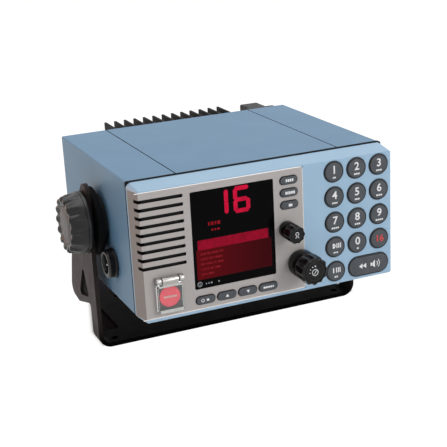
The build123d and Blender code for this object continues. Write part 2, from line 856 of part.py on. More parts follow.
with BuildPart() as speaker:
    with BuildSketch(front(speaker_front + speaker_flange)):
        outline(speaker_left, speaker_left + speaker_width, speaker_low, speaker_low + speaker_height,
                speaker_corner)
    extrude(amount=speaker_flange)
    with BuildSketch(front(speaker_front + speaker_flange)):
        with Locations((speaker_x, speaker_z)):
            Ellipse(speaker_mouth, speaker_height / 2 - speaker_corner)
    with BuildSketch(front(speaker_front + speaker_depth)):
        with Locations((speaker_x, speaker_z)):
            Circle(speaker_throat)
    loft()
    with BuildSketch(front(speaker_front + speaker_depth)):
        with Locations((speaker_x, speaker_z)):
            Circle(magnet_radius)
    extrude(amount=-magnet_depth)
    with BuildSketch(front(speaker_front)):
        with Locations((speaker_x, speaker_z)):
            Circle(speaker_mouth - speaker_flange)
    with BuildSketch(front(speaker_front + cone_hollow)):
        with Locations((speaker_x, speaker_z)):
            Circle(cone_throat)
    loft(mode=Mode.SUBTRACT)
write(speaker, "speaker")

# ================================================================ cabinet
with BuildPart() as front_gasket:
    with BuildSketch(front(cover_front)):
        outline(-side_x - gasket_proud, side_x + gasket_proud, cabinet_bottom - gasket_proud,
                cabinet_height + gasket_proud, cover_corner)
        outline(gasket_band - gasket_proud - side_x, side_x + gasket_proud - gasket_band,
                cabinet_bottom + gasket_band - gasket_proud, cabinet_height + gasket_proud - gasket_band,
                mode=Mode.SUBTRACT)
    extrude(amount=gasket_thickness)
write(front_gasket, "front_gasket")

with BuildPart() as front_bulkhead:
    with BuildSketch(front(bulkhead_back)):
        outline(-inner_half, inner_half, inner_bottom, inner_top)
        outline(bulkhead_rim - inner_half, inner_half - bulkhead_rim, inner_bottom + bulkhead_rim,
                inner_top - bulkhead_top_rim, mode=Mode.SUBTRACT)
        with Locations(*frame_bosses):
            Circle(screw_radius + seat_gap, mode=Mode.SUBTRACT)
    extrude(amount=sheet)
write(front_bulkhead, "front_bulkhead")

handset_y = front_y + handset_set_back
for name, side in sides:
    seam = right_seam if side > 0 else -left_seam
    with BuildPart() as side_cover:
        with BuildSketch(front(cabinet_back)) as section:
            with BuildLine():
                Polyline(
                    (side * (seam + seam_gap / 2), cabinet_height), (side * side_x, cabinet_height),
                    (side * side_x, cabinet_bottom), (side * (side_x - cover_flange), cabinet_bottom),
                    (side * (side_x - cover_flange), cabinet_bottom + sheet),
                    (side * side_inner, cabinet_bottom + sheet), (side * side_inner, ledge_top),
                    (side * (seam + seam_gap / 2), ledge_top), close=True,
                )
            make_face()
            fillet(section.vertices().group_by(Axis.X)[-1 if side > 0 else 0], cover_corner)
        extrude(amount=cabinet_back - cover_front)
        with BuildSketch(front(rear_front - inset_ends)):
            ledge_ends = (side * (seam - ledge_inner), side * (seam + ledge_outer))
            outline(min(ledge_ends), max(ledge_ends), ledge_top - sheet, ledge_top)
        extrude(amount=rear_front - bulkhead_back - 2 * inset_ends)
        with BuildSketch(beside(side, side_x)):
            Circle(stud_hole_radius)
        extrude(amount=-sheet, mode=Mode.SUBTRACT)
        if name == "left":
            with BuildSketch(Plane(origin=(-side_x, handset_y, set_height + handset_z), z_dir=(-1, 0, 0))):
                Circle(handset_spigot + seat_gap)
            extrude(amount=-sheet, mode=Mode.SUBTRACT)
    write(side_cover, "%s_cover" % name)

with BuildPart() as centre_cover:
    with BuildSketch(front(cabinet_back)):
        outline(left_seam + seam_gap / 2, right_seam - seam_gap / 2, ledge_top, cabinet_height)
    extrude(amount=cabinet_back - cover_front)
write(centre_cover, "centre_cover")

with BuildPart() as bottom_tray:
    with BuildSketch(front(cabinet_back)):
        outline(-inner_half, inner_half, tray_top - sheet, tray_top)
    extrude(amount=cabinet_back - cover_front)
    for name, side in sides:
        with BuildSketch(front(rear_front - inset_ends)):
            upturn_ends = (side * inner_half, side * (inner_half - sheet))
            outline(min(upturn_ends), max(upturn_ends), tray_top, tray_top + upturn)
        extrude(amount=rear_front - bulkhead_back - 2 * inset_ends)
    with BuildSketch(Plane.XY.offset(set_height + tray_top)):
        with Locations((0, main_board_y)):
            with Locations(*main_board_holes):
                Circle(standoff_radius)
                Circle(thread_radius, mode=Mode.SUBTRACT)
    extrude(amount=standoff_height)
write(bottom_tray, "bottom_tray")

with BuildPart() as main_board:
    with BuildSketch(Plane.XY.offset(set_height + main_board_bottom)):
        with Locations((0, main_board_y)):
            Rectangle(main_board_width, main_board_depth)
            with Locations(*main_board_holes):
                Circle(screw_radius + seat_gap, mode=Mode.SUBTRACT)
    extrude(amount=board_thickness)
write(main_board, "main_board")

# ================================================================ rear
rear_places = ((rear_left_x, antenna_z), (rear_left_x, power_z))
with BuildPart() as heat_sink:
    with BuildSketch(front(rear_back)):
        outline(-inner_half, inner_half, inner_bottom, inner_top)
        with Locations(*rear_places):
            Circle(spigot_radius + seat_gap, mode=Mode.SUBTRACT)
        with Locations((earth_x, earth_z)):
            Circle(earth_radius + seat_gap, mode=Mode.SUBTRACT)
    extrude(amount=rear_plate)
    with BuildSketch(front(fin_reach)):
        for n in range(fin_count):
            fin_x = fin_first + n * fin_pitch
            outline(fin_x - fin_thickness / 2, fin_x + fin_thickness / 2, fin_bottom, cabinet_height)
    extrude(amount=fin_reach - rear_back)
write(heat_sink, "heat_sink")

with BuildPart() as antenna_socket:
    with BuildSketch(front(rear_back)):
        with Locations((rear_left_x, antenna_z)):
            RectangleRounded(antenna_flange, antenna_flange, flange_corner)
    extrude(amount=-rear_flange)
    with BuildSketch(front(rear_back)):
        with Locations((rear_left_x, antenna_z)):
            Circle(antenna_radius)
    extrude(amount=-antenna_length)
    with BuildSketch(front(rear_front - spigot_inside)):
        with Locations((rear_left_x, antenna_z)):
            Circle(spigot_radius)
    extrude(amount=-rear_plate - spigot_inside)
    with BuildSketch(front(rear_back + antenna_length)):
        with Locations((rear_left_x, antenna_z)):
            Circle(antenna_bore)
            Circle(antenna_contact, mode=Mode.SUBTRACT)
    extrude(amount=antenna_bore_depth, mode=Mode.SUBTRACT)
write(antenna_socket, "antenna_socket")

with BuildPart() as power_socket:
    with BuildSketch(front(rear_back)):
        with Locations((rear_left_x, power_z)):
            RectangleRounded(power_flange, power_flange, flange_corner)
    extrude(amount=-rear_flange)
    with BuildSketch(front(rear_back)):
        with Locations((rear_left_x, power_z)):
            Circle(power_radius)
    extrude(amount=-power_length)
    with BuildSketch(front(rear_front - spigot_inside)):
        with Locations((rear_left_x, power_z)):
            Circle(spigot_radius)
    extrude(amount=-rear_plate - spigot_inside)
    with BuildSketch(front(rear_back + power_length)):
        with Locations((rear_left_x, power_z)):
            Circle(power_bore)
            with PolarLocations(power_pin_circle, power_pin_count):
                Circle(power_pin_radius, mode=Mode.SUBTRACT)
    extrude(amount=power_bore_depth, mode=Mode.SUBTRACT)
write(power_socket, "power_socket")

with BuildPart() as rear_hood:
    with BuildSketch(front(rear_back + hood_flange)):
        outline(hood_flange_left, hood_flange_right, hood_flange_bottom, hood_top, hood_edge)
    extrude(amount=hood_flange)
    with BuildSketch(front(rear_back + hood_reach)):
        outline(hood_left, hood_right, hood_bottom, hood_top, hood_edge)
    extrude(amount=hood_reach)
write(rear_hood, "rear_hood")

with BuildPart() as earth_stud:
    with BuildSketch(front(rear_front - earth_nut)):
        with Locations((earth_x, earth_z)):
            Circle(earth_radius)
    extrude(amount=-earth_nut - rear_plate - earth_length)
    for depth in (rear_front - earth_nut, rear_back, rear_back + earth_nut + rear_flange):
        with BuildSketch(front(depth)):
            with Locations((earth_x, earth_z)):
                RegularPolygon(earth_nut_radius, 6)
        extrude(amount=-earth_nut)
write(earth_stud, "earth_stud")

with BuildPart() as handset_socket:
    with BuildSketch(Plane(origin=(-side_x, handset_y, set_height + handset_z), z_dir=(-1, 0, 0))):
        Circle(handset_radius)
    extrude(amount=handset_proud)
    fillet(handset_socket.edges().sort_by(Axis.X)[0], handset_edge)
    with BuildSketch(Plane(origin=(-side_x, handset_y, set_height + handset_z), z_dir=(-1, 0, 0))):
        Circle(handset_spigot)
    extrude(amount=-sheet - spigot_inside)
    with BuildSketch(Plane(origin=(-side_x - handset_proud, handset_y, set_height + handset_z),
                           z_dir=(-1, 0, 0))):
        Circle(handset_bore)
        with PolarLocations(power_pin_circle, power_pin_count + 1):
            Circle(power_pin_radius, mode=Mode.SUBTRACT)
    extrude(amount=-handset_bore_depth, mode=Mode.SUBTRACT)
write(handset_socket, "handset_socket")


# ================================================================ screws
board_top = set_height + main_board_bottom + board_thickness
main_board_level = Plane(origin=(0, main_board_y, board_top), x_dir=(1, 0, 0), z_dir=(0, 0, -1))
screw_sets = (
    (front(bulkhead_back), frame_bosses, sheet),
    (front(board_back), board_posts, board_thickness),
    (main_board_level, main_board_holes, board_thickness),
)
with BuildPart() as fixing_screws:
    for plane, places, grip in screw_sets:
        with BuildSketch(plane):
            with Locations(*places):
                Circle(screw_head_radius)
        extrude(amount=-screw_head)
        with BuildSketch(plane):
            with Locations(*places):
                Circle(screw_radius)
        extrude(amount=grip + screw_length)
write(fixing_screws, "fixing_screws")
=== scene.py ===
import json
import math
import bpy
import bmesh
from mathutils import Matrix, Vector


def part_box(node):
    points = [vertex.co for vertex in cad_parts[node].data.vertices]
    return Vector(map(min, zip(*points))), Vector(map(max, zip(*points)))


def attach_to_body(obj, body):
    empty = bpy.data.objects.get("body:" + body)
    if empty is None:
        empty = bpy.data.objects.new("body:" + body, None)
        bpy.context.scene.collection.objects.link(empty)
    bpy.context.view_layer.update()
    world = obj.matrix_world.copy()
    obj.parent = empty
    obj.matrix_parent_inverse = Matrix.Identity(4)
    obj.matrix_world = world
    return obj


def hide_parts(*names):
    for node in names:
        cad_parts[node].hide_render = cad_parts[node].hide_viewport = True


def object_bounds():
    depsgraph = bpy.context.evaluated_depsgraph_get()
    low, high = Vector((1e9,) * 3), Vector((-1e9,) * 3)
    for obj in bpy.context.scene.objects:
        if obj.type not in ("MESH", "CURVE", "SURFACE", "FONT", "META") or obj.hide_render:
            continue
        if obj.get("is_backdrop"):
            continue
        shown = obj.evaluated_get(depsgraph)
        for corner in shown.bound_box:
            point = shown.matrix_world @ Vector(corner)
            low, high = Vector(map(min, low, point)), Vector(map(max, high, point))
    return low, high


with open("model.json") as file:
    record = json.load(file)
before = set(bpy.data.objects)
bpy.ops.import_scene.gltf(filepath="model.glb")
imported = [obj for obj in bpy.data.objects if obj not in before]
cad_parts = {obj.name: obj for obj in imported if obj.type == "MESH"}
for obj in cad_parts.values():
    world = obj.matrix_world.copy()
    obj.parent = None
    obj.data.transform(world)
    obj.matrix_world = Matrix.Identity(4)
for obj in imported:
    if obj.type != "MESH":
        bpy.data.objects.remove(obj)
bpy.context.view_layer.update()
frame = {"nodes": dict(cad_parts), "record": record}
print("frame loaded")

mm = 0.001
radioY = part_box("face_plate")[0].y  # the front face stands in this plane
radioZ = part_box("front_frame")[0].z  # underside of the set
pivotZ = sum(corner.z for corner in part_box("left_clamp_stud")) / 2


def bodyOf(nodeName):
    for body, members in frame["record"]["behaviour"]["bodies"].items():
        if nodeName in members:
            return body


def hexColour(text):
    def linear(value):
        return value / 12.92 if value <= 0.04045 else ((value + 0.055) / 1.055) ** 2.4
    parts = [int(text[i:i + 2], 16) / 255 for i in (1, 3, 5)]
    return tuple(linear(part) for part in parts) + (1.0,)


def newObject(name, data):
    made = bpy.data.objects.new(name, data)
    bpy.context.scene.collection.objects.link(made)
    return made


# camera, light and floor

view = {
    "place": (-384.2, -916.7, 418.8),
    "yaw": 22.73,
    "pitch": 18.07,
    "roll": -3.0,
    "lens": 89.83,
    "sensor": 36.0,
}


def setCamera():
    yaw, pitch, roll = (math.radians(view[part]) for part in ("yaw", "pitch", "roll"))
    level = math.cos(pitch)
    ahead = Vector((math.sin(yaw) * level, math.cos(yaw) * level, -math.sin(pitch)))
    right = Vector((math.cos(yaw), -math.sin(yaw), 0))
    up = right.cross(ahead)
    tiltedRight = right * math.cos(roll) + up * math.sin(roll)
    tiltedUp = up * math.cos(roll) - right * math.sin(roll)
    lens = bpy.data.cameras.new("camera")
    lens.lens = view["lens"]
    lens.sensor_width = view["sensor"]
    lens.clip_start = 0.05
    lens.clip_end = 20
    camera = newObject("camera", lens)
    turned = Matrix((tiltedRight, tiltedUp, -ahead)).transposed().to_4x4()
    camera.matrix_world = Matrix.Translation(Vector(view["place"]) * mm) @ turned
    bpy.context.scene.camera = camera


setCamera()
bpy.context.scene.view_settings.view_transform = "Standard"

lamps = {
    # name: place, aim, size, power, colour, all in metres and watts
    "keyLamp": ((0.9, -1.6, 0.95), (0, 0, 0.1), 0.9, 14.0, "#ffffff"),
    "frontLamp": ((0.2, -1.9, 0.45), (0, 0, 0.1), 1.2, 4.5, "#ffffff"),
    "topLamp": ((-0.1, 0.25, 1.9), (0, 0, 0.1), 1.4, 14.5, "#ffffff"),
    "sideLamp": ((-1.3, 1.0, 0.5), (0, 0, 0.1), 0.6, 8.5, "#ffc29a"),
    "backLamp": ((1.1, 1.5, 1.7), (0, 0, 0.1), 1.0, 3.0, "#ffffff"),
}


def setLamps():
    for name, (place, aim, size, power, colour) in lamps.items():
        light = bpy.data.lights.new(name, "AREA")
        light.size = size
        light.energy = power
        light.color = hexColour(colour)[:3]
        lamp = newObject(name, light)
        lamp.location = place
        lamp.rotation_mode = "QUATERNION"
        lamp.rotation_quaternion = (Vector(aim) - Vector(place)).to_track_quat("-Z", "Y")


def addNode(tree, kind, inputs=None, **settings):
    node = tree.nodes.new(kind)
    for name, value in settings.items():
        setattr(node, name, value)
    for name, value in (inputs or {}).items():
        if isinstance(value, bpy.types.NodeSocket):
            tree.links.new(value, node.inputs[name])
        else:
            node.inputs[name].default_value = value
    return node


def worked(tree, operation, *values):
    return addNode(tree, "ShaderNodeMath", dict(enumerate(values)), operation=operation).outputs[0]


studio = {
    "soft": 0.27,           # light of the room on the object
    "whiteShare": 0.92,     # how much of the floor shows as pure white
}

# the painted shadow under the base, in metres; its left edge leans to the right towards the back
shade = {
    "edge": -0.1394, "lean": 0.269, "left": -0.131, "right": 0.138, "front": -0.007, "rear": 0.178,
    "softness": 0.008,
}


def seenDirectly(tree):
    # 1 where the camera, a reflection or clear plastic looks straight at it
    path = addNode(tree, "ShaderNodeLightPath").outputs
    first = worked(tree, "MAXIMUM", path["Is Camera Ray"], path["Is Glossy Ray"])
    return worked(tree, "MAXIMUM", first, path["Is Transmission Ray"])


def setWorld():
    world = bpy.data.worlds.new("studio")
    bpy.context.scene.world = world
    world.use_nodes = True
    tree = world.node_tree
    tree.nodes.clear()
    soft = addNode(tree, "ShaderNodeBackground", {"Color": hexColour("#f4f6f8"), "Strength": studio["soft"]})
    white = addNode(tree, "ShaderNodeBackground", {"Color": hexColour("#ffffff"), "Strength": 1.0})
    mixed = addNode(tree, "ShaderNodeMixShader", {
        0: seenDirectly(tree), 1: soft.outputs[0], 2: white.outputs[0]})
    addNode(tree, "ShaderNodeOutputWorld", {"Surface": mixed.outputs[0]})


def makeFloor():
    sheet = bmesh.new()
    bmesh.ops.create_grid(sheet, x_segments=1, y_segments=1, size=6)
    mesh = bpy.data.meshes.new("floor")
    sheet.to_mesh(mesh)
    sheet.free()
    floor = newObject("floor", mesh)
    material = bpy.data.materials.new("white card")
    material.use_nodes = True
    tree = material.node_tree
    tree.nodes.clear()
    # 0 in the painted shadow under the base, 1 on the open floor
    spot = addNode(tree, "ShaderNodeSeparateXYZ", {0: addNode(tree, "ShaderNodeTexCoord").outputs["Object"]})
    x, y = spot.outputs[0], spot.outputs[1]
    beyond = worked(tree, "SUBTRACT", worked(tree, "MULTIPLY_ADD", y, shade["lean"], shade["edge"]), x)
    for first, second in ((x, shade["right"]), (shade["left"], x), (shade["front"], y), (y, shade["rear"])):
        beyond = worked(tree, "MAXIMUM", beyond, worked(tree, "SUBTRACT", first, second))
    outsidePaintedShadow = addNode(tree, "ShaderNodeMapRange", {
        "Value": beyond, "From Min": -shade["softness"], "From Max": 0.0},
        interpolation_type="SMOOTHSTEP").outputs[0]
    # the card is painted dark grey inside the painted shadow
    tone = addNode(tree, "ShaderNodeMix", {
        "Factor": outsidePaintedShadow, 6: hexColour("#2c2b2f"), 7: hexColour("#f2f2f2")}, data_type="RGBA")
    card = addNode(tree, "ShaderNodeBsdfDiffuse", {"Color": tone.outputs[2]})
    glow = addNode(tree, "ShaderNodeEmission", {"Color": hexColour("#ffffff"), "Strength": 1.1})
    # the card shows white by itself and keeps part of the shadow that falls on it
    share = worked(tree, "MULTIPLY", worked(tree, "MULTIPLY", seenDirectly(tree), studio["whiteShare"]), outsidePaintedShadow)
    mixed = addNode(tree, "ShaderNodeMixShader", {0: share, 1: card.outputs[0], 2: glow.outputs[0]})
    addNode(tree, "ShaderNodeOutputMaterial", {"Surface": mixed.outputs[0]})
    mesh.materials.append(material)
    floor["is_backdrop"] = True


setLamps()
setWorld()
makeFloor()
print("camera, lamps and floor set")


# making meshes

def spotAt(place, u, v, w):
    # where a piece is drawn: its origin and its three directions, in mm; w points out of the surface
    return tuple(Vector(part) for part in (place, u, v, w))


def faceAhead(x, z):
    return spotAt((x, radioY / mm, radioZ / mm + z), (1, 0, 0), (0, 0, 1), (0, -1, 0))


def sideOut(side, reach, y=0.0, z=None):
    height = pivotZ / mm if z is None else z
    return spotAt((side * reach, y, height), (0, side, 0), (0, 0, 1), (side, 0, 0))


def backOut(x, y, z):
    return spotAt((x, y, z), (-1, 0, 0), (0, 0, 1), (0, 1, 0))


def fromSpot(spot, places):
    origin, u, v, w = spot
    return [origin + u * a + v * b + w * c for a, b, c in places]


def banded(count, pairs):
    # four-sided faces between pairs of closed loops of count points
    return [(a * count + i, a * count + (i + 1) % count, b * count + (i + 1) % count, b * count + i)
            for a, b in pairs for i in range(count)]


def newPiece(name, points, faces, finish, sharp=35):
    mesh = bpy.data.meshes.new(name)
    mesh.from_pydata([point * mm for point in points], [], faces)
    mesh.materials.append(finish)
    piece = newObject(name, mesh)
    tidyMesh(mesh, sharp)
    return piece


def tidyMesh(mesh, sharp):
    shape = bmesh.new()
    shape.from_mesh(mesh)
    bmesh.ops.remove_doubles(shape, verts=shape.verts, dist=1e-6)
    bmesh.ops.recalc_face_normals(shape, faces=shape.faces)
    shape.to_mesh(mesh)
    shape.free()
    mesh.polygons.foreach_set("use_smooth", [True] * len(mesh.polygons))
    mesh.set_sharp_from_angle(angle=math.radians(sharp))


def shell(name, rings, spot, finish, sharp=35):
    # rings are closed loops of (u, v, w) with equal counts, given from the back to the front
    count, last = len(rings[0]), len(rings) - 1
    faces = banded(count, [(row, row + 1) for row in range(last)])
    faces.append(tuple(reversed(range(count))))
    faces.append(tuple(range(last * count, len(rings) * count)))
    return newPiece(name, fromSpot(spot, sum(rings, [])), faces, finish, sharp)


def turned(name, profile, spot, finish, steps=96, shape=None, sharp=35):
    # profile is (radius, height) from back to front; shape(angle, radius, height) may change the radius
    rings = []
    for radius, height in profile:
        ring = []
        for n in range(steps):
            angle = 2 * math.pi * n / steps
            reach = shape(angle, radius, height) if shape else radius
            ring.append((reach * math.cos(angle), reach * math.sin(angle), height))
        rings.append(ring)
    return shell(name, rings, spot, finish, sharp=sharp)


def slotLoop(width, height, inset, lift, turns=16):
    radius = height / 2 - inset
    reach = (width - height) / 2
    ring = []
    for end, first in ((1, -90), (-1, 90)):
        for n in range(turns + 1):
            angle = math.radians(first + 180 * n / turns)
            ring.append((end * reach + radius * math.cos(angle), radius * math.sin(angle), lift))
    return ring


def cornerLoop(width, height, corner, inset, lift, turns=6):
    radius = max(corner - inset, 0.05)
    reach, rise = width / 2 - inset - radius, height / 2 - inset - radius
    ring = []
    for n, (a, b) in enumerate(((1, -1), (1, 1), (-1, 1), (-1, -1))):
        for step in range(turns + 1):
            angle = math.radians(-90 + 90 * n + 90 * step / turns)
            ring.append((a * reach + radius * math.cos(angle), b * rise + radius * math.sin(angle), lift))
    return ring


def joined(name, pieces):
    # merges finished meshes into one piece, materials kept
    shape = bmesh.new()
    finishes = []
    for piece in pieces:
        for material in piece.data.materials:
            if material not in finishes:
                finishes.append(material)
        start = len(shape.faces)
        shape.from_mesh(piece.data)
        shape.faces.ensure_lookup_table()
        places = [finishes.index(material) for material in piece.data.materials]
        for face in shape.faces[start:]:
            face.material_index = places[face.material_index]
    mesh = bpy.data.meshes.new(name)
    shape.to_mesh(mesh)
    shape.free()
    for material in finishes:
        mesh.materials.append(material)
    for piece in pieces:
        bpy.data.objects.remove(piece)
    return newObject(name, mesh)


def settle(piece, nodeName):
    # stands for its CAD node and moves with its body
    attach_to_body(piece, bodyOf(nodeName))
    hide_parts(nodeName)


def attach(piece, body):
    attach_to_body(piece, body)


# repeats one small piece at every point of a cloud, turned by the cloud's "turn" attribute
def makeRepeatTree():
    tree = bpy.data.node_groups.new("repeat on points", "GeometryNodeTree")
    for name, kind in (("Cloud", "Geometry"), ("Piece", "Object"), ("Size", "Float"), ("Finish", "Material")):
        tree.interface.new_socket(name, in_out="INPUT", socket_type="NodeSocket" + kind)
    tree.interface.new_socket("Pieces", in_out="OUTPUT", socket_type="NodeSocketGeometry")
    given = addNode(tree, "NodeGroupInput")
    source = addNode(tree, "GeometryNodeObjectInfo", {"Object": given.outputs["Piece"]})
    turn = addNode(tree, "GeometryNodeInputNamedAttribute", {"Name": "turn"}, data_type="FLOAT_VECTOR")
    placed = addNode(tree, "GeometryNodeInstanceOnPoints", {
        "Points": given.outputs["Cloud"], "Instance": source.outputs["Geometry"],
        "Rotation": turn.outputs["Attribute"], "Scale": given.outputs["Size"]})
    real = addNode(tree, "GeometryNodeRealizeInstances", {0: placed.outputs[0]})
    painted = addNode(tree, "GeometryNodeSetMaterial", {
        0: real.outputs[0], "Material": given.outputs["Finish"]})
    addNode(tree, "NodeGroupOutput", {"Pieces": painted.outputs[0]})
    return tree


repeatTree = makeRepeatTree()


def repeated(name, piece, places, finish):
    # places are (point in mm, euler turn)
    mesh = bpy.data.meshes.new(name + ".cloud")
    mesh.from_pydata([Vector(point) * mm for point, turn in places], [], [])
    turns = mesh.attributes.new("turn", "FLOAT_VECTOR", "POINT")
    turns.data.foreach_set("vector", [part for point, turn in places for part in turn])
    cloud = newObject(name + ".cloud", mesh)
    modifier = cloud.modifiers.new("repeat", "NODES")
    modifier.node_group = repeatTree
    sockets = {item.name: item.identifier for item in repeatTree.interface.items_tree if item.in_out == "INPUT"}
    for socket, value in (("Piece", piece), ("Size", 1.0), ("Finish", finish)):
        modifier[sockets[socket]] = value
    bpy.context.view_layer.update()
    plain = bpy.data.meshes.new_from_object(cloud.evaluated_get(bpy.context.evaluated_depsgraph_get()))
    plain.name = name
    bpy.data.objects.remove(cloud)
    bpy.data.objects.remove(piece)
    return newObject(name, plain)


print("mesh helpers ready")


# finishes

def startFinish(name, colour, inputs):
    material = bpy.data.materials.new(name)
    material.use_nodes = True
    tree = material.node_tree
    tree.nodes.clear()
    place = addNode(tree, "ShaderNodeTexCoord").outputs["Object"]
    surface = addNode(tree, "ShaderNodeBsdfPrincipled", {"Base Color": hexColour(colour), **inputs})
    addNode(tree, "ShaderNodeOutputMaterial", {"Surface": surface.outputs[0]})
    material.diffuse_color = hexColour(colour)
    return material, tree, place, surface


def cloudy(tree, place, size, detail=3.0, rough=0.55, stretch=(1, 1, 1)):
    # soft noise with features of about size mm
    spread = addNode(tree, "ShaderNodeMapping", {"Vector": place, "Scale": stretch})
    return addNode(tree, "ShaderNodeTexNoise", {
        "Vector": spread.outputs[0], "Scale": 1000 / size, "Detail": detail, "Roughness": rough}).outputs["Fac"]


def graded(tree, factor, low, high, span):
    ramp = addNode(tree, "ShaderNodeValToRGB", {"Fac": factor})
    for element, at, colour in zip(ramp.color_ramp.elements, span, (low, high)):
        element.position = at
        element.color = hexColour(colour)
    return ramp.outputs["Color"]


def tinted(tree, surface, factor, low, high, span=(0.3, 0.7), socket="Base Color"):
    tree.links.new(graded(tree, factor, low, high, span), surface.inputs[socket])


def spreadOut(tree, value, fromLow, fromHigh, toLow=0.0, toHigh=1.0):
    return addNode(tree, "ShaderNodeMapRange", {
        "Value": value, "From Min": fromLow, "From Max": fromHigh, "To Min": toLow, "To Max": toHigh}).outputs[0]


def roughened(tree, surface, factor, low, high):
    tree.links.new(spreadOut(tree, factor, 0.3, 0.7, low, high), surface.inputs["Roughness"])


def raised(tree, surface, factor, height, strength=1.0):
    # height of the relief in mm
    bump = addNode(tree, "ShaderNodeBump", {"Height": factor, "Distance": height * mm, "Strength": strength})
    tree.links.new(bump.outputs[0], surface.inputs["Normal"])


twoMillimetres = 1000 / 6.28  # the scale at which the bands of a wave texture lie 2 mm apart


def banding(tree, place, direction, scale):
    return addNode(tree, "ShaderNodeTexWave", {"Vector": place, "Scale": scale},
                   bands_direction=direction).outputs["Fac"]


def cabinetPaint():
    # polyester powder coat on sheet steel: satin, a faint orange peel about 1.2 mm across
    material, tree, place, surface = startFinish("steel blue powder coat", "#698fae", {
        "Roughness": 0.42, "IOR": 1.5, "Specular IOR Level": 0.14})
    tinted(tree, surface, cloudy(tree, place, 60, 2), "#678dac", "#6b91b0")
    roughened(tree, surface, cloudy(tree, place, 25), 0.41, 0.44)
    raised(tree, surface, cloudy(tree, place, 1.2, 1), 0.03, 0.35)
    return material


def framePaint():
    # two-part enamel sprayed on die-cast aluminium: smoother and paler than the covers
    material, tree, place, surface = startFinish("pale blue enamel", "#a0c0d9", {
        "Roughness": 0.36, "IOR": 1.5, "Specular IOR Level": 0.3})
    tinted(tree, surface, cloudy(tree, place, 45, 2), "#9ebed7", "#a3c2db")
    roughened(tree, surface, cloudy(tree, place, 18), 0.32, 0.42)
    raised(tree, surface, cloudy(tree, place, 0.9, 1), 0.02, 0.3)
    return material


def platePaint(name, low, high):
    # pressed aluminium with a fine bead-blasted, clear anodised skin: warm silver, hardly any mirror
    material, tree, place, surface = startFinish(name, low, {
        "Roughness": 0.5, "Metallic": 0.15, "IOR": 1.5, "Specular IOR Level": 0.2})
    tinted(tree, surface, cloudy(tree, place, 0.5, 2, 0.7), low, high)
    roughened(tree, surface, cloudy(tree, place, 12), 0.46, 0.54)
    raised(tree, surface, cloudy(tree, place, 0.3, 1), 0.01, 0.4)  # 0.3 mm grain
    return material


def bracketCoat():
    # black polyester powder coat on 4 mm steel with a 0.8 mm leathery grain; painted shade darkens the base and
    # painted light makes the arms paler, with a random mottle
    material, tree, place, surface = startFinish("black powder coat", "#141212", {
        "Roughness": 0.45, "IOR": 1.5, "Specular IOR Level": 0.04})
    split = addNode(tree, "ShaderNodeSeparateXYZ", {0: place})
    height = spreadOut(tree, split.outputs[2], 0.006, 0.03)  # from the base to just above its bend
    paintedLightByHeight = worked(tree, "MULTIPLY", height, spreadOut(tree, cloudy(tree, place, 30, 2), 0.3, 0.7, 0.85, 1.0))
    tinted(tree, surface, paintedLightByHeight, "#080708", "#3b3434", (0.0, 1.0))
    # the base also reflects less, as painted shade
    tree.links.new(spreadOut(tree, height, 0.0, 1.0, 0.008, 0.05), surface.inputs["Specular IOR Level"])
    roughened(tree, surface, cloudy(tree, place, 10), 0.4, 0.5)
    raised(tree, surface, cloudy(tree, place, 0.8, 2), 0.03, 0.3)
    return material


def moulded(name, low, high, rough, shine=0.5):
    # glass-filled nylon: spark-eroded mould texture of about 0.5 mm, soft shine
    material, tree, place, surface = startFinish(name, low, {
        "Roughness": rough, "IOR": 1.53, "Specular IOR Level": shine})
    tinted(tree, surface, cloudy(tree, place, 8, 2), low, high)
    roughened(tree, surface, cloudy(tree, place, 5), rough - 0.04, rough + 0.06)
    raised(tree, surface, cloudy(tree, place, 0.5, 2), 0.02, 0.35)
    return material


def keyRubber(name, low, high):
    # silicone rubber keys with a matt hard coat: dark slate, a dusty sheen at grazing angles
    material, tree, place, surface = startFinish(name, low, {
        "Roughness": 0.45, "IOR": 1.41, "Specular IOR Level": 0.4})
    tinted(tree, surface, cloudy(tree, place, 6, 2), low, high)
    raised(tree, surface, cloudy(tree, place, 0.35, 1), 0.012, 0.3)
    return material


def plainRubber():
    # EPDM gasket rubber: dead black, dull, with a slight bloom
    material, tree, place, surface = startFinish("gasket rubber", "#0a0b0c", {
        "Roughness": 0.8, "IOR": 1.5, "Specular IOR Level": 0.08})
    tinted(tree, surface, cloudy(tree, place, 5), "#08090a", "#101112")
    raised(tree, surface, cloudy(tree, place, 0.7, 2), 0.03, 0.4)
    return material


def platedMetal(name, low, high, rough, streak):
    # plated or bright metal; streak is the length in mm of the fine lines left by the tool
    material, tree, place, surface = startFinish(name, low, {"Roughness": rough, "Metallic": 1.0})
    lines = cloudy(tree, place, streak, 2, 0.6, (1, 12, 12))
    tinted(tree, surface, lines, low, high)
    roughened(tree, surface, lines, rough - 0.05, rough + 0.08)
    raised(tree, surface, lines, 0.006, 0.3)
    return material


def blackAnodised():
    # extruded aluminium, black anodised: a dull dyed skin with draw lines up the fins
    material, tree, place, surface = startFinish("black anodised aluminium", "#121315", {
        "Roughness": 0.6, "Specular IOR Level": 0.08})
    lines = cloudy(tree, place, 3, 2, 0.6, (10, 10, 0.6))
    tinted(tree, surface, lines, "#0f1011", "#17181a")
    roughened(tree, surface, lines, 0.52, 0.66)
    raised(tree, surface, lines, 0.01, 0.4)
    return material


def windowAcrylic():
    # smoked cast acrylic over an unlit screen: near black and glossy, with faint polishing haze
    material, tree, place, surface = startFinish("smoked acrylic", "#060607", {
        "Roughness": 0.1, "IOR": 1.49, "Specular IOR Level": 0.03})
    roughened(tree, surface, cloudy(tree, place, 15), 0.06, 0.12)
    return material


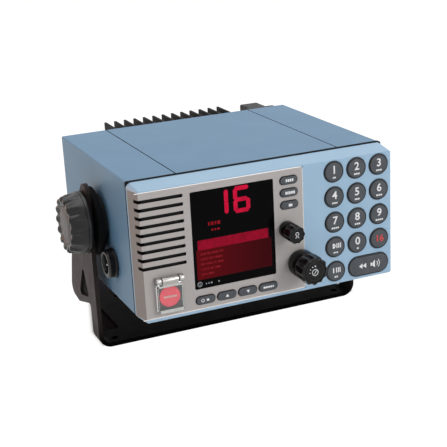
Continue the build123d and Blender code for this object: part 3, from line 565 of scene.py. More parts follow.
def screenField():
    # backlit liquid crystal behind the acrylic: deep red, brightest at its left end
    material, tree, place, surface = startFinish("red backlight", "#2a0407", {
        "Roughness": 0.12, "IOR": 1.49, "Specular IOR Level": 0.03, "Emission Strength": 1.0})
    split = addNode(tree, "ShaderNodeSeparateXYZ", {0: place})
    depth = graded(tree, spreadOut(tree, split.outputs[0], -0.066, -0.01), "#52050b", "#2c0307", (0.0, 1.0))
    rows = banding(tree, place, "Z", twoMillimetres / 1.2)  # pixel rows, drawn 2.4 mm apart so that they show
    glow = addNode(tree, "ShaderNodeMix", {"Factor": 1.0, 6: depth, 7: spreadOut(tree, rows, 0.0, 1.0, 0.9, 1.05)},
                   data_type="RGBA", blend_type="MULTIPLY")
    tree.links.new(glow.outputs[2], surface.inputs["Emission Color"])
    return material


def screenLight(name, low, high):
    # lit liquid crystal segments: even crimson with a slight mottle of the backlight
    material, tree, place, surface = startFinish(name, "#150204", {
        "Roughness": 0.12, "IOR": 1.49, "Specular IOR Level": 0.03, "Emission Strength": 1.0})
    tinted(tree, surface, cloudy(tree, place, 6, 2), low, high, (0.35, 0.65), "Emission Color")
    return material


def clearCover():
    # injection moulded polycarbonate: clear, slightly smoky, with soft reflections
    material, tree, place, surface = startFinish("clear polycarbonate", "#eef0ef", {
        "Roughness": 0.05, "IOR": 1.58, "Transmission Weight": 1.0})
    roughened(tree, surface, cloudy(tree, place, 6), 0.03, 0.09)
    return material


def coverEdgeHighlight():
    # the finger lip and the top edge of the cover are drawn milky pale: a painted highlight
    material, tree, place, surface = startFinish("frosted polycarbonate", "#e9ece8", {
        "Roughness": 0.4, "IOR": 1.58, "Transmission Weight": 0.35})
    roughened(tree, surface, cloudy(tree, place, 2), 0.35, 0.5)
    return material


def alarmRed():
    # red moulded ABS: pinkish red, soft under its cover; its faint emission is a painted glow
    material, tree, place, surface = startFinish("red moulded plastic", "#e2354f", {
        "Roughness": 0.35, "IOR": 1.53, "Emission Strength": 0.3, "Emission Color": hexColour("#ff2f4c")})
    tinted(tree, surface, cloudy(tree, place, 7, 2), "#df324c", "#e83f58")
    raised(tree, surface, cloudy(tree, place, 0.5, 1), 0.015, 0.3)
    return material


def printedInk(name, low, high):
    # pad-printed ink: flat, slightly uneven cover
    material, tree, place, surface = startFinish(name, low, {"Roughness": 0.55, "IOR": 1.45})
    tinted(tree, surface, cloudy(tree, place, 1.5, 2), low, high)
    raised(tree, surface, cloudy(tree, place, 0.4, 1), 0.008, 0.25)
    return material


def circuitLaminate():
    # solder mask on glass-epoxy laminate: green, glossy, with the weave just showing
    material, tree, place, surface = startFinish("green circuit laminate", "#1d5a34", {
        "Roughness": 0.3, "IOR": 1.5})
    tracks = addNode(tree, "ShaderNodeTexBrick", {
        "Vector": place, "Color1": hexColour("#1d5a34"), "Color2": hexColour("#24683d"),
        "Mortar": hexColour("#174a2b"), "Scale": 1000 / 6, "Mortar Size": 0.03})  # tracks of 3 by 1.5 mm
    tree.links.new(tracks.outputs["Color"], surface.inputs["Base Color"])
    return material


def clothWeave():
    # black acoustic cloth: open plain weave, threads drawn 2 mm apart so that they show
    material, tree, place, surface = startFinish("acoustic cloth", "#0c0c0d", {"Roughness": 0.9, "IOR": 1.5})
    weave = worked(tree, "MULTIPLY", *(banding(tree, place, way, twoMillimetres) for way in "XZ"))
    tinted(tree, surface, weave, "#070708", "#1a1a1b")
    raised(tree, surface, weave, 0.1, 0.6)
    return material


coverPaint, enamel = cabinetPaint(), framePaint()
silver = platePaint("bead blasted aluminium", "#aba6a4", "#b6b1af")
# a darker copy of the plate's silver: painted shade on the plate's folded left side
shadedSilver = platePaint("bead blasted aluminium, folded side", "#8a8685", "#959190")
powder, rubber, anodised = bracketCoat(), plainRubber(), blackAnodised()
knobNylon = moulded("black nylon", "#131314", "#1a1a1c", 0.3, 0.3)
glossNylon = moulded("polished black nylon", "#0a0a0b", "#0f0f10", 0.2, 0.22)
hubNylon = moulded("grey black nylon", "#0f1011", "#161719", 0.45, 0.15)
slate = keyRubber("coated silicone rubber", "#464a4f", "#505459")
# near black for the key rims: painted shade
keyRimShade = keyRubber("bare silicone rubber", "#15171a", "#1c1e22")
whiteInk = printedInk("white ink", "#e6e9eb", "#f2f3f4")
greyInk = printedInk("grey ink", "#8b8f94", "#9a9ea3")
dialInk = printedInk("grey white ink", "#bfc2c4", "#cccfd1")
paleRed = printedInk("pale red ink", "#f8bdb2", "#fcc9c0")
redInk = printedInk("red ink", "#d23a32", "#e04a3e")
capGrey = moulded("warm grey plastic", "#3b3636", "#453f3f", 0.4, 0.3)
zinc = platedMetal("zinc plated steel", "#b4b6b8", "#cfd1d2", 0.3, 6)
nickel = platedMetal("nickel plated brass", "#b9b5aa", "#d6d2c6", 0.22, 4)
chrome = platedMetal("satin chromed zinc", "#a5a29f", "#b8b5b1", 0.3, 5)
bareMetal = platedMetal("mill finish aluminium", "#b8babc", "#c9cbcc", 0.35, 20)
trayMetal = platedMetal("dull passivated steel", "#3c3e40", "#484a4c", 0.5, 20)
acrylic, field, polycarbonate, edgeHighlight = windowAcrylic(), screenField(), clearCover(), coverEdgeHighlight()
crimson = screenLight("crimson segments", "#b20c31", "#cc143b")
dimRed = screenLight("dim red rows", "#7a0d16", "#8f1420")
bandRed = screenLight("red bar", "#7d0820", "#920b28")
rowRed = screenLight("red rows", "#7c1c26", "#8c242f")
signalRed, laminate, acoustic = alarmRed(), circuitLaminate(), clothWeave()
# near black standing for shade: painted shade in the slot walls, the cover seams, the arm recesses and the screw
# crosses
shadow = moulded("unlit black primer", "#050506", "#08080a", 0.7, 0.05)
# painted shade on the walls of the plate's slots
slotEdge = moulded("sheared aluminium edge in shade", "#393333", "#443d3d", 0.6, 0.1)
# paler silver standing for the light caught by the plate's edge: a painted highlight
highlightEdge = platedMetal("burnished aluminium edge", "#c6c1be", "#d6d1ce", 0.4, 20)
print("finishes made")

# the pieces that show as they were built; the others get a finish where they are drawn
carriedFinishes = {
    "front_gasket": rubber, "friction_discs": rubber, "keypad_mat": rubber,
    "hubs": hubNylon, "rear_hood": hubNylon, "speaker": hubNylon, "speaker_cloth": acoustic,
    "display_window": acrylic, "distress_hinge_pin": zinc, "left_clamp_stud": zinc, "right_clamp_stud": zinc,
    "threaded_bushes": zinc, "fixing_screws": zinc, "volume_spindle": zinc, "squelch_spindle": zinc,
    "rotary_controls": nickel, "heat_sink": anodised, "bottom_tray": trayMetal, "front_bulkhead": bareMetal,
    "display_module": laminate, "front_board": laminate, "main_board": laminate,
}
for nodeName, node in frame["nodes"].items():
    for place in node.material_slots:
        place.material = carriedFinishes.get(nodeName, slate)
print("cad pieces painted")


# the set's shell and the bracket: painted shade in the slots, in the seams between the covers and in the recesses
# of the arms

shellLook = {
    "slots": 9, "slotLow": 47.8, "slotHigh": 105.5, "slotHeight": 2.9, "slotEnd": -76.3, "slotBack": -94.1,
    "seams": (-74.8, -73.8, 77.1, 78.1),    # walls of the two gaps between the covers, painted as shade
    "recess": 130.3,                        # floor of the recess in each arm, painted as shade
    "beadWide": 0.65, "beadProud": 0.16, "beadFoot": -0.05,
    "plateRight": 32.8, "plateLeft": -118.6, "plateLow": 2.8, "plateHigh": 113.2, "plateCorner": 2.5,
    "cornerSteps": 8,
}


def shaded(nodeName, finish, others):
    # the node's own shape; each of the others is a finish and a test that picks its faces
    mesh = frame["nodes"][nodeName].data.copy()
    mesh.materials.clear()
    mesh.materials.append(finish)
    picked = [0] * len(mesh.polygons)
    for place, (other, test) in enumerate(others, 1):
        mesh.materials.append(other)
        for face in mesh.polygons:
            if test(face.center / mm, face.normal):
                picked[face.index] = place
    mesh.polygons.foreach_set("material_index", picked)
    settle(newObject(nodeName + "_shaded", mesh), nodeName)
    print(nodeName, "has", len(picked) - picked.count(0), "faces in another finish")


def inSlot(centre, normal):
    look = shellLook
    pitch = (look["slotHigh"] - look["slotLow"]) / (look["slots"] - 1)
    row = (centre.z - radioZ / mm - look["slotLow"]) / pitch
    level = 0 <= round(row) < look["slots"] and abs(row - round(row)) * pitch < look["slotHeight"] / 2 + 0.1
    inside = abs(normal.z) > 0.3 or normal.x < -0.98 or abs(centre.y - look["slotBack"]) < 0.3
    return level and centre.x < look["slotEnd"] and inside


def inSeam(centre, normal):
    return abs(normal.x) > 0.9 and min(abs(centre.x - seam) for seam in shellLook["seams"]) < 0.05


def inRecess(centre, normal):
    return abs(normal.x) > 0.9 and abs(abs(centre.x) - shellLook["recess"]) < 0.05


def onFold(centre, normal):
    return normal.x < -0.7


shaded("front_frame", enamel, [(shadow, inSlot)])
for nodeName in ("left_cover", "centre_cover", "right_cover"):
    shaded(nodeName, coverPaint, [(shadow, inSeam)])
shaded("bracket", powder, [(shadow, inRecess)])
# the folded side of the plate is drawn in painted shade, its slot walls too
shaded("face_plate", silver, [(shadedSilver, onFold), (slotEdge, inSlot)])


def plateBead():
    # the pressed edge of the plate stands a little proud along its top, right side and bottom, in a paler silver
    # as a painted highlight
    look = shellLook
    corner, wide, proud, foot = (look[part] for part in ("plateCorner", "beadWide", "beadProud", "beadFoot"))
    path = [(look["plateLeft"], look["plateHigh"], 0, 1)]
    for first, height in ((90, look["plateHigh"] - corner), (0, look["plateLow"] + corner)):
        for n in range(look["cornerSteps"] + 1):
            angle = math.radians(first - 90 * n / look["cornerSteps"])
            a, b = math.cos(angle), math.sin(angle)
            path.append((look["plateRight"] - corner + corner * a, height + corner * b, a, b))
    path.append((look["plateLeft"], look["plateLow"], 0, -1))
    section = [(0.0, foot), (0.0, proud * 0.6), (wide * 0.2, proud), (wide * 0.8, proud), (wide, proud * 0.6),
               (wide, foot)]
    places = [(x - a * inset, z - b * inset, lift) for x, z, a, b in path for inset, lift in section]
    count = len(section)
    faces = banded(count, [(row, row + 1) for row in range(len(path) - 1)])
    faces += [tuple(range(count)), tuple(len(places) - 1 - i for i in range(count))]
    attach(newPiece("plate_bead", fromSpot(faceAhead(0, 0), places), faces, highlightEdge), "radio")


plateBead()
print("shell and bracket shaded")


# keys

keyLook = {
    "back": -4.5,       # behind the face
    "shoulder": 0.95,   # where the side turns into the front
    "crown": 1.5,
    "groove": 0.885,    # a fine line round the front at this share of the radius
    "darkFrom": 0.87,   # the rim beyond this share of the radius is painted dark as shade
    "inkLift": 0.03,    # height and thickness of the print
    "hiddenLip": 0.5,   # of the slim keys, behind the plate
    "bold": 0.02, "stretch": 1.02,
    "digitSize": 9.8, "pairSize": 8.6, "digitRise": 1.6, "barLevel": -5.0,
}


def spotOf(nodeName):
    # middle and size as seen from the front
    low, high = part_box(nodeName)
    x, z = (low.x + high.x) / 2 / mm, (low.z + high.z) / 2 / mm - radioZ / mm
    return x, z, (high.x - low.x) / mm, (high.z - low.z) / mm


def domeHeight(share):
    return keyLook["crown"] - (keyLook["crown"] - keyLook["shoulder"] - 0.22) * share ** 2


def keyRings(width, height):
    # round when it is as wide as high, else with two straight sides
    def loop(inset, lift):
        if width > height:
            return slotLoop(width, height, inset, lift)
        return [((height / 2 - inset) * math.cos(2 * math.pi * n / 64),
                 (height / 2 - inset) * math.sin(2 * math.pi * n / 64), lift) for n in range(64)]

    foot, radius = keyLook["shoulder"] - 0.35, height / 2
    rings = [loop(0.0, keyLook["back"]), loop(0.0, foot)]
    for turn in (25, 50, 72):
        rings.append(loop(0.35 * (1 - math.cos(math.radians(turn))), foot + 0.5 * math.sin(math.radians(turn))))
    for share in (0.93, 0.9, keyLook["groove"], 0.86, 0.78, 0.6, 0.4, 0.2, 0.05):
        dip = 0.09 if share == keyLook["groove"] else 0.0
        rings.append(loop(radius * (1 - share), domeHeight(share) - dip))
    return rings


def makeKey(nodeName, width, height):
    spot = faceAhead(*spotOf(nodeName)[:2])
    cap = shell(nodeName + "_cap", keyRings(width, height), spot, slate, sharp=50)
    # the rim of the key is painted dark as shade
    cap.data.materials.append(keyRimShade)
    for face in cap.data.polygons:
        away = face.center / mm - spot[0]
        reach = math.hypot(max(0.0, abs(away.x) - (width - height) / 2), away.z)
        if reach > height / 2 * keyLook["darkFrom"] and len(face.vertices) == 4:
            face.material_index = 1
    settle(cap, nodeName)
    return spot


def flatMark(name, outlines, spot, ink, lift):
    # each outline is a closed list of (u, v); lift(u, v) gives its height above the face
    shape = bmesh.new()
    for outline in outlines:
        shape.faces.new([shape.verts.new((a, b, 0)) for a, b in outline])
    bmesh.ops.triangulate(shape, faces=shape.faces)
    return finishMark(name, shape, spot, ink, lift)


def finishMark(name, shape, spot, ink, lift):
    # cuts long edges so that the mark follows the crown of its key, then gives it a little thickness
    w = spot[3]
    for step in range(3):
        longOnes = [edge for edge in shape.edges if edge.calc_length() > 1.2]
        if not longOnes:
            break
        bmesh.ops.subdivide_edges(shape, edges=longOnes, cuts=1)
        bmesh.ops.triangulate(shape, faces=shape.faces)
    for vertex in shape.verts:
        a, b = vertex.co.x, vertex.co.y
        vertex.co = fromSpot(spot, [(a, b, lift(a, b))])[0] * mm
    bmesh.ops.recalc_face_normals(shape, faces=shape.faces)
    top = list(shape.faces)
    if top and top[0].normal.dot(w) < 0:
        bmesh.ops.reverse_faces(shape, faces=top)
    raisedPart = bmesh.ops.extrude_face_region(shape, geom=top)
    for item in raisedPart["geom"]:
        if isinstance(item, bmesh.types.BMVert):
            item.co += w * keyLook["inkLift"] * mm
    mesh = bpy.data.meshes.new(name)
    bmesh.ops.recalc_face_normals(shape, faces=shape.faces)
    shape.to_mesh(mesh)
    shape.free()
    mesh.materials.append(ink)
    return newObject(name, mesh)


def numberMark(name, digits, size, rise, spot, ink, lift):
    curve = bpy.data.curves.new(name, "FONT")
    curve.body = digits
    curve.size = size
    curve.align_x = "CENTER"
    curve.align_y = "CENTER"
    curve.offset = keyLook["bold"] * size
    curve.resolution_u = 4
    text = newObject(name, curve)
    bpy.context.view_layer.update()
    flat = bpy.data.meshes.new_from_object(text.evaluated_get(bpy.context.evaluated_depsgraph_get()))
    bpy.data.objects.remove(text)
    shape = bmesh.new()
    shape.from_mesh(flat)
    bmesh.ops.remove_doubles(shape, verts=shape.verts, dist=1e-4)
    for vertex in shape.verts:
        vertex.co.x *= keyLook["stretch"]
        vertex.co.y += rise
    bmesh.ops.triangulate(shape, faces=shape.faces)
    return finishMark(name, shape, spot, ink, lift)


def barOutline(x, z, width, height):
    return [(x - width / 2, z - height / 2), (x + width / 2, z - height / 2),
            (x + width / 2, z + height / 2), (x - width / 2, z + height / 2)]


def around(x, z, radius, angle):
    return (x + radius * math.cos(angle), z + radius * math.sin(angle))


def ringOutlines(x, z, outer, inner, start=0, end=360, steps=24):
    outlines = []
    for n in range(steps):
        a, b = (math.radians(start + (end - start) * (n + part) / steps) for part in (0, 1))
        outlines.append([around(x, z, outer, a), around(x, z, outer, b), around(x, z, inner, b),
                         around(x, z, inner, a)])
    return outlines


def dashes(x, z, widths, height, gap):
    # a row of short bars stands where small lettering would be
    total = sum(widths) + gap * (len(widths) - 1)
    bars, at = [], x - total / 2
    for width in widths:
        bars.append(barOutline(at + width / 2, z, width, height))
        at += width + gap
    return bars


def crownOf(radius, straight=0.0):
    # height of the print on a key; straight is half the length of its straight sides
    def lift(a, b):
        reach = math.hypot(max(0.0, abs(a) - straight), b)
        return domeHeight(min(1.0, reach / radius)) + keyLook["inkLift"]
    return lift


def markKey(nodeName, ending, outlines, spot, lift):
    attach(flatMark(nodeName + ending, outlines, spot, whiteInk, lift), bodyOf(nodeName))


digitKeys = {
    # name: big mark, small bars below it
    "key_1": ("1", (1.0, 1.4)), "key_2": ("2", (1.6, 1.6, 1.4)), "key_3": ("3", (1.6, 1.4, 1.6)),
    "key_4": ("4", (1.5, 1.6, 1.2)), "key_5": ("5", (0.9, 1.6, 1.4)), "key_6": ("6", (1.9, 1.6, 1.5)),
    "key_7": ("7", (1.4, 1.5, 1.5, 1.4)), "key_8": ("8", (1.3, 1.6, 1.5)), "key_9": ("9", (2.0, 1.4, 1.4, 1.4)),
    "key_0": ("0", (1.8,)), "key_16": ("16", ()),
}
for nodeName, (digits, bars) in digitKeys.items():
    across = spotOf(nodeName)[3]
    spot, crown = makeKey(nodeName, across, across), crownOf(across / 2)
    size, rise, ink = keyLook["digitSize"], keyLook["digitRise"], whiteInk
    if not bars:
        size, rise, ink = keyLook["pairSize"], 0.0, redInk
    attach(numberMark(nodeName + "_digit", digits, size, rise, spot, ink, crown), bodyOf(nodeName))
    if bars:
        markKey(nodeName, "_bars", dashes(0, keyLook["barLevel"], bars, 1.5, 0.45), spot, crown)

# two keys with bare marks instead of words
for nodeName, marks in {
    "key_watch": [barOutline(-2.4, 1.3, 1.1, 4.6)] + ringOutlines(-2.4, 1.3, 2.3, 1.2, -90, 90, 10)
                 + [barOutline(1.2, 1.3, 1.0, 4.6), barOutline(3.0, 1.3, 1.0, 4.6), barOutline(4.8, 1.3, 1.0, 4.6)]
                 + dashes(0, -4.9, (1.2, 1.0, 1.4), 1.3, 0.4),
    "key_power": [barOutline(-2.6, 1.3, 1.2, 4.8), barOutline(0.3, 1.3, 1.0, 4.8), barOutline(2.1, 1.3, 1.0, 4.8),
                  barOutline(3.9, 1.3, 1.0, 4.8)] + dashes(0, -4.9, (1.4, 1.4), 1.6, 0.5),
}.items():
    across = spotOf(nodeName)[3]
    markKey(nodeName, "_marks", marks, makeKey(nodeName, across, across), crownOf(across / 2))

keyRadius = spotOf("key_1")[3] / 2
keyPitch = spotOf("key_2")[0] - spotOf("key_1")[0]
spot = makeKey("key_wide", keyPitch + 2 * keyRadius, 2 * keyRadius)
wideMarks = [[(-10.2, 0), (-6.6, 2.4), (-6.6, -2.4)], [(-6.4, 0), (-2.8, 2.4), (-2.8, -2.4)]]
wideMarks += [barOutline(2.6, 0, 1.8, 3.0), [(3.9, 1.5), (3.9, -1.5), (6.2, -3.7), (6.2, 3.7)]]
wideMarks += ringOutlines(5.6, 0, 3.6, 2.9, -40, 40, 8) + ringOutlines(5.6, 0, 5.6, 4.9, -42, 42, 10)
markKey("key_wide", "_marks", wideMarks, spot, crownOf(keyRadius, keyPitch / 2))

slimMarks = {
    "side_key_1": dashes(0.4, 0, (1.3, 1.4, 1.5, 1.5), 2.4, 0.5),
    "side_key_2": dashes(0.6, 0, (1.4, 1.2, 1.5, 1.5, 1.7), 2.4, 0.45),
    "side_key_3": [barOutline(0.6, -0.2, 3.4, 2.3)],
    "soft_key_1": ringOutlines(-3.0, 0, 1.5, 1.0, steps=14) + [barOutline(1.6, 0, 2.2, 2.0)],
    "soft_key_2": [[(-1.6, -1.2), (1.6, -1.2), (0, 1.5)]],
    "soft_key_3": [[(-1.6, 1.2), (0, -1.5), (1.6, 1.2)]],
    "soft_key_4": dashes(0, 0, (2.0, 1.6, 1.6, 1.8, 1.4), 1.7, 0.4),
}
for nodeName, marks in slimMarks.items():
    width, height = (size - 2 * keyLook["hiddenLip"] for size in spotOf(nodeName)[2:])
    markKey(nodeName, "_marks", marks, makeKey(nodeName, width, height), crownOf(height / 2, (width - height) / 2))
print("keys made")


# rotary knobs

knobLook = {
    "volume_knob": {"radius": 12.8, "length": 28.0, "lobes": 12},
    "squelch_knob": {"radius": 7.9, "length": 20.7, "lobes": 10},
    "gap": 0.7,             # to the face
    "bore": 5.2,
    "lobeDepth": 0.085,     # of the radius
    "lobeStart": 0.55,      # of the length
    "steps": 288,
}
# radius and height of the knob's outline, drawn for a radius of 11.8: from its foot, its lobes and its front
knobOutline = {
    "gap": ((10.8, 0), (11.3, 0.5), (11.35, 1.2)),
    "lobes": ((11.25, -2.6), (11.0, -2.2), (10.9, -1.5), (11.1, -1.1), (11.6, -0.4), (11.8, 0.6)),
    "front": ((11.8, -2.2), (11.7, -1.6), (11.4, -1.0), (10.95, -0.55), (10.4, -0.32), (9.6, -0.2), (9.35, -0.25),
              (9.1, -0.9), (8.4, -0.95), (8.15, -0.5), (7.9, -0.4), (6.3, -0.38), (6.1, -0.65), (5.8, -0.65),
              (5.6, -0.36), (2.5, -0.32), (0.15, -0.3)),
}


def makeKnob(nodeName, outlines):
    radius, length, lobes = (knobLook[nodeName][part] for part in ("radius", "length", "lobes"))
    spot = faceAhead(*spotOf(nodeName)[:2])
    scale = radius / 11.8
    start, deep = length * knobLook["lobeStart"], radius * knobLook["lobeDepth"]

    def lobed(angle, r, w):
        # narrow grooves between rounded lobes, easing in from the neck
        if r < radius * 0.86 or w < start - 1.2 * scale:
            return r
        ease = min(1.0, (w - start + 1.2 * scale) / (1.6 * scale))
        near = (angle * lobes / (2 * math.pi)) % 1.0 - 0.5
        return r - ease * (deep * max(0.0, 1 - (abs(near) * 2.4) ** 2))

    profile = [(knobLook["bore"], knobLook["gap"])]
    for part, foot in (("gap", knobLook["gap"]), ("lobes", start), ("front", length)):
        profile += [(drawn * scale, foot + rise * scale) for drawn, rise in knobOutline[part]]
    knob = turned(nodeName + "_grip", profile, spot, glossNylon, knobLook["steps"], lobed, 40)
    settle(knob, nodeName)
    face = profile[-1][1]
    marks = flatMark(nodeName + "_marks", outlines, spot, dialInk, lambda a, b: face)
    attach(marks, bodyOf(nodeName))


dial = ringOutlines(0, -0.6, 3.1, 2.3) + [[(-1.3, -1.9), (-0.7, -2.3), (1.5, 0.9), (0.9, 1.2)]]
for turn, reach, radius in ((180, 5.0, 0.45), (147, 5.2, 0.5), (115, 5.3, 0.6), (87, 5.4, 0.75)):
    x, z = around(0, 0, reach, math.radians(turn))
    dial.append([around(x, z - 0.4, radius, 2 * math.pi * n / 10) for n in range(10)])
makeKnob("volume_knob", dial)
dial = ringOutlines(0, 1.1, 1.7, 1.0) + [[(-0.4, 0.1), (0.6, -0.1), (1.9, -2.6), (1.0, -2.6)],
                                        [(0.4, 0.1), (-0.6, -0.1), (-1.9, -2.6), (-1.0, -2.6)]]
makeKnob("squelch_knob", dial)
print("knobs made")


# clamp knobs at the tilt axis

clampLook = {
    "start": 132.8,     # inner face of the knob from the middle of the set
    "rear": 28.3,
    "front": 24.0,      # body radius at the outer end, between the ridges
    "ridges": 14,
    "ridgeHeight": 1.5,
    "ridgeFoot": 6.0,   # the ridges start here and stand full after ridgeRun
    "ridgeRun": 9.0,
    "beadHeight": 1.25,
    "disc": 16.9,
    "steps": 336,
}


def offRidge(angle):
    # 0 on a ridge, 1 midway between two
    half = math.pi / clampLook["ridges"]
    return abs((angle + half) % (2 * half) - half) / half


def ridged(angle, r, w):
    # narrow rounded ridges that fade out towards the set
    if w < clampLook["ridgeFoot"] or r < 19.0:
        return r
    rise = min(1.0, (w - clampLook["ridgeFoot"]) / clampLook["ridgeRun"]) ** 1.4
    return r + rise * clampLook["ridgeHeight"] * max(0.0, 1 - (offRidge(angle) / 0.62) ** 2) ** 0.8


def beadAt(angle):
    # the outer rim stands up in a bead at every ridge
    return clampLook["beadHeight"] * max(0.0, 1 - (offRidge(angle) / 0.7) ** 2) ** 0.6


def makeClampKnob(side, sideName):
    nodeName = sideName + "_clamp_knob"
    spot = sideOut(side, clampLook["start"])
    rear, front = clampLook["rear"], clampLook["front"]
    # radius, height and how much of the bead stands on it
    profile = [(4.3, 0.0, 0), (rear - 2.2, 0.0, 0), (rear - 1.0, 0.35, 0), (rear - 0.3, 1.0, 0), (rear, 2.0, 0),
               (rear, 4.0, 0), (rear - 0.15, 4.4, 0), (rear - 0.75, 4.6, 0), (rear - 0.8, 5.0, 0),
               (rear - 0.35, 5.2, 0), (rear - 0.3, 5.6, 0)]
    for n in range(1, 11):
        share = n / 10
        profile.append((rear - 0.3 + (front - rear + 0.3) * share ** 1.1, 5.6 + 11.6 * share, 0))
    profile += [(front - 0.2, 18.0, 0.25), (front - 0.7, 18.6, 0.6), (front - 1.6, 19.0, 0.95),
                (front - 2.8, 19.1, 1.0), (front - 3.9, 19.0, 0.9), (front - 4.9, 18.8, 0.5), (18.1, 18.7, 0.2),
                (17.6, 18.6, 0), (17.3, 18.3, 0), (17.2, 18.0, 0), (0.2, 18.0, 0)]
    rings = []
    for radius, height, share in profile:
        ring = []
        for n in range(clampLook["steps"]):
            angle = 2 * math.pi * n / clampLook["steps"]
            reach = ridged(angle, radius, height)
            ring.append((reach * math.cos(angle), reach * math.sin(angle), height + share * beadAt(angle)))
        rings.append(ring)
    settle(shell(nodeName + "_grip", rings, spot, knobNylon, sharp=40), nodeName)
    cap = clampLook["disc"]
    disc = [(cap, 18.0), (cap, 18.5), (cap - 0.25, 18.75), (cap - 0.7, 18.85), (cap - 1.4, 18.85),
            (cap - 1.6, 18.72), (cap - 2.0, 18.72), (cap - 2.2, 18.85), (9.0, 19.0), (0.2, 19.05)]
    attach(turned(sideName + "_clamp_cap", disc, spot, capGrey, 96), bodyOf(nodeName))


makeClampKnob(-1, "left")
makeClampKnob(1, "right")
print("clamp knobs made")


# handset socket on the left side

socketLook = {
    "reach": 119.1, "y": -32.6, "z": 34.0,
    "threads": 6, "threadPitch": 0.8,
    "pins": 4, "pinCircle": 4.5, "pinFoot": 2.7, "pinHeight": 3.4, "pinRadius": 1.0,
}
socketSpot = sideOut(-1, socketLook["reach"], socketLook["y"], radioZ / mm + socketLook["z"])
socketProfile = [(12.9, 0.0), (13.6, 0.4), (13.6, 2.0), (13.2, 2.4), (12.4, 2.6)]
for n in range(socketLook["threads"]):
    foot = 2.8 + n * socketLook["threadPitch"]
    socketProfile += [(12.3, foot), (12.85, foot + 0.25), (12.85, foot + 0.45), (12.3, foot + 0.7)]
socketProfile += [(12.2, 7.7), (11.8, 8.2), (11.1, 8.55), (9.6, 8.6), (9.0, 8.45), (8.7, 8.0), (8.7, 2.8),
                  (0.2, 2.8)]
settle(turned("handset_socket_barrel", socketProfile, socketSpot, knobNylon, 112), "handset_socket")
unitSpot = spotAt((0, 0, 0), (1, 0, 0), (0, 1, 0), (0, 0, 1))


def atSpot(spot, places):
    # points of a cloud, each with the turn that stands a piece on the surface
    turn = spot[3].to_track_quat("Z", "Y").to_euler()
    return [(point, turn) for point in fromSpot(spot, places)]


def contactPins(name, spot, look, foot):
    radius, height, circle = look["pinRadius"], look["pinHeight"], look["pinCircle"]
    outline = [(radius, 0), (radius, height - 0.5), (radius * 0.85, height - 0.2), (radius * 0.55, height - 0.05),
               (0.1, height)]
    pin = turned("contact", outline, unitSpot, nickel, 20)
    angles = [2 * math.pi * n / look["pins"] + 0.6 for n in range(look["pins"])]
    places = [(circle * math.cos(angle), circle * math.sin(angle), foot) for angle in angles]
    attach(repeated(name, pin, atSpot(spot, places), nickel), "radio")


contactPins("handset_contacts", socketSpot, socketLook, socketLook["pinFoot"])
print("handset socket made")


# antenna and power sockets and the earth stud at the back

rearLook = {
    "plate": 106.8,         # outer face of the rear plate
    "spigot": 6.0,
    "antenna_socket": {"flange": 25.4, "barrel": 7.9, "pitch": 1.06, "bore": 5.6, "depth": 12.0, "finish": nickel},
    "power_socket": {"flange": 28.0, "barrel": 11.0, "pitch": 1.5, "bore": 8.6, "depth": 9.0, "finish": knobNylon},
    "power_pins": {"pins": 3, "pinCircle": 4.5, "pinHeight": 7.0, "pinRadius": 1.5},
    "screwRadius": 2.1, "screwInset": 3.2,
    "nut": 5.5, "nutHeight": 4.5,
}


def rearSpot(nodeName):
    low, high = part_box(nodeName)
    spot = backOut((low.x + high.x) / 2 / mm, rearLook["plate"], (low.z + high.z) / 2 / mm)
    return spot, low.y / mm - rearLook["plate"], high.y / mm - rearLook["plate"]


def panHead(name, radius):
    # a pan head screw with its cross recess drawn flat on top in painted shade
    head = turned(name, [(radius, 0.0), (radius, 0.5), (radius * 0.9, 0.95), (radius * 0.6, 1.25),
                         (radius * 0.2, 1.35), (0.1, 1.35)], unitSpot, zinc, 24)
    cross = [barOutline(0, 0, radius * 1.1, radius * 0.3), barOutline(0, 0, radius * 0.3, radius * 1.1)]
    return joined(name, [head, flatMark(name + "_cross", cross, unitSpot, shadow, lambda a, b: 1.34)])


def rearSocket(nodeName):
    look = rearLook[nodeName]
    spot, foot, tip = rearSpot(nodeName)
    width, finish, pitch, barrel, bore = (look[part] for part in ("flange", "finish", "pitch", "barrel", "bore"))
    spigot, bottom = rearLook["spigot"], tip - look["depth"]
    loops = [cornerLoop(width, width, 2.0, inset, lift) for inset, lift in ((0.0, 0.0), (0.0, 1.6), (0.35, 2.0))]
    flange = shell(nodeName + "_flange", loops, spot, finish)
    profile = [(0.2, foot), (spigot, foot), (spigot, 0.5), (barrel - 0.6, 0.5), (barrel - 0.6, 2.6)]
    at = 3.0
    while at + pitch < tip - 0.8:
        profile += [(barrel - 0.55, at), (barrel, at + pitch * 0.4), (barrel, at + pitch * 0.6)]
        at += pitch
    profile += [(barrel - 0.55, at), (barrel - 0.7, tip - 0.4), (barrel - 1.0, tip), (bore + 0.3, tip),
                (bore, tip - 0.3), (bore, bottom), (0.2, bottom)]
    body = turned(nodeName + "_barrel", profile, spot, finish, 72)
    settle(joined(nodeName + "_body", [flange, body]), nodeName)
    away = width / 2 - rearLook["screwInset"]
    corners = atSpot(spot, [(a * away, b * away, 1.95) for a in (-1, 1) for b in (-1, 1)])
    screws = repeated(nodeName + "_screws", panHead("flange_screw", rearLook["screwRadius"]), corners, zinc)
    attach(screws, "radio")
    return spot, bottom


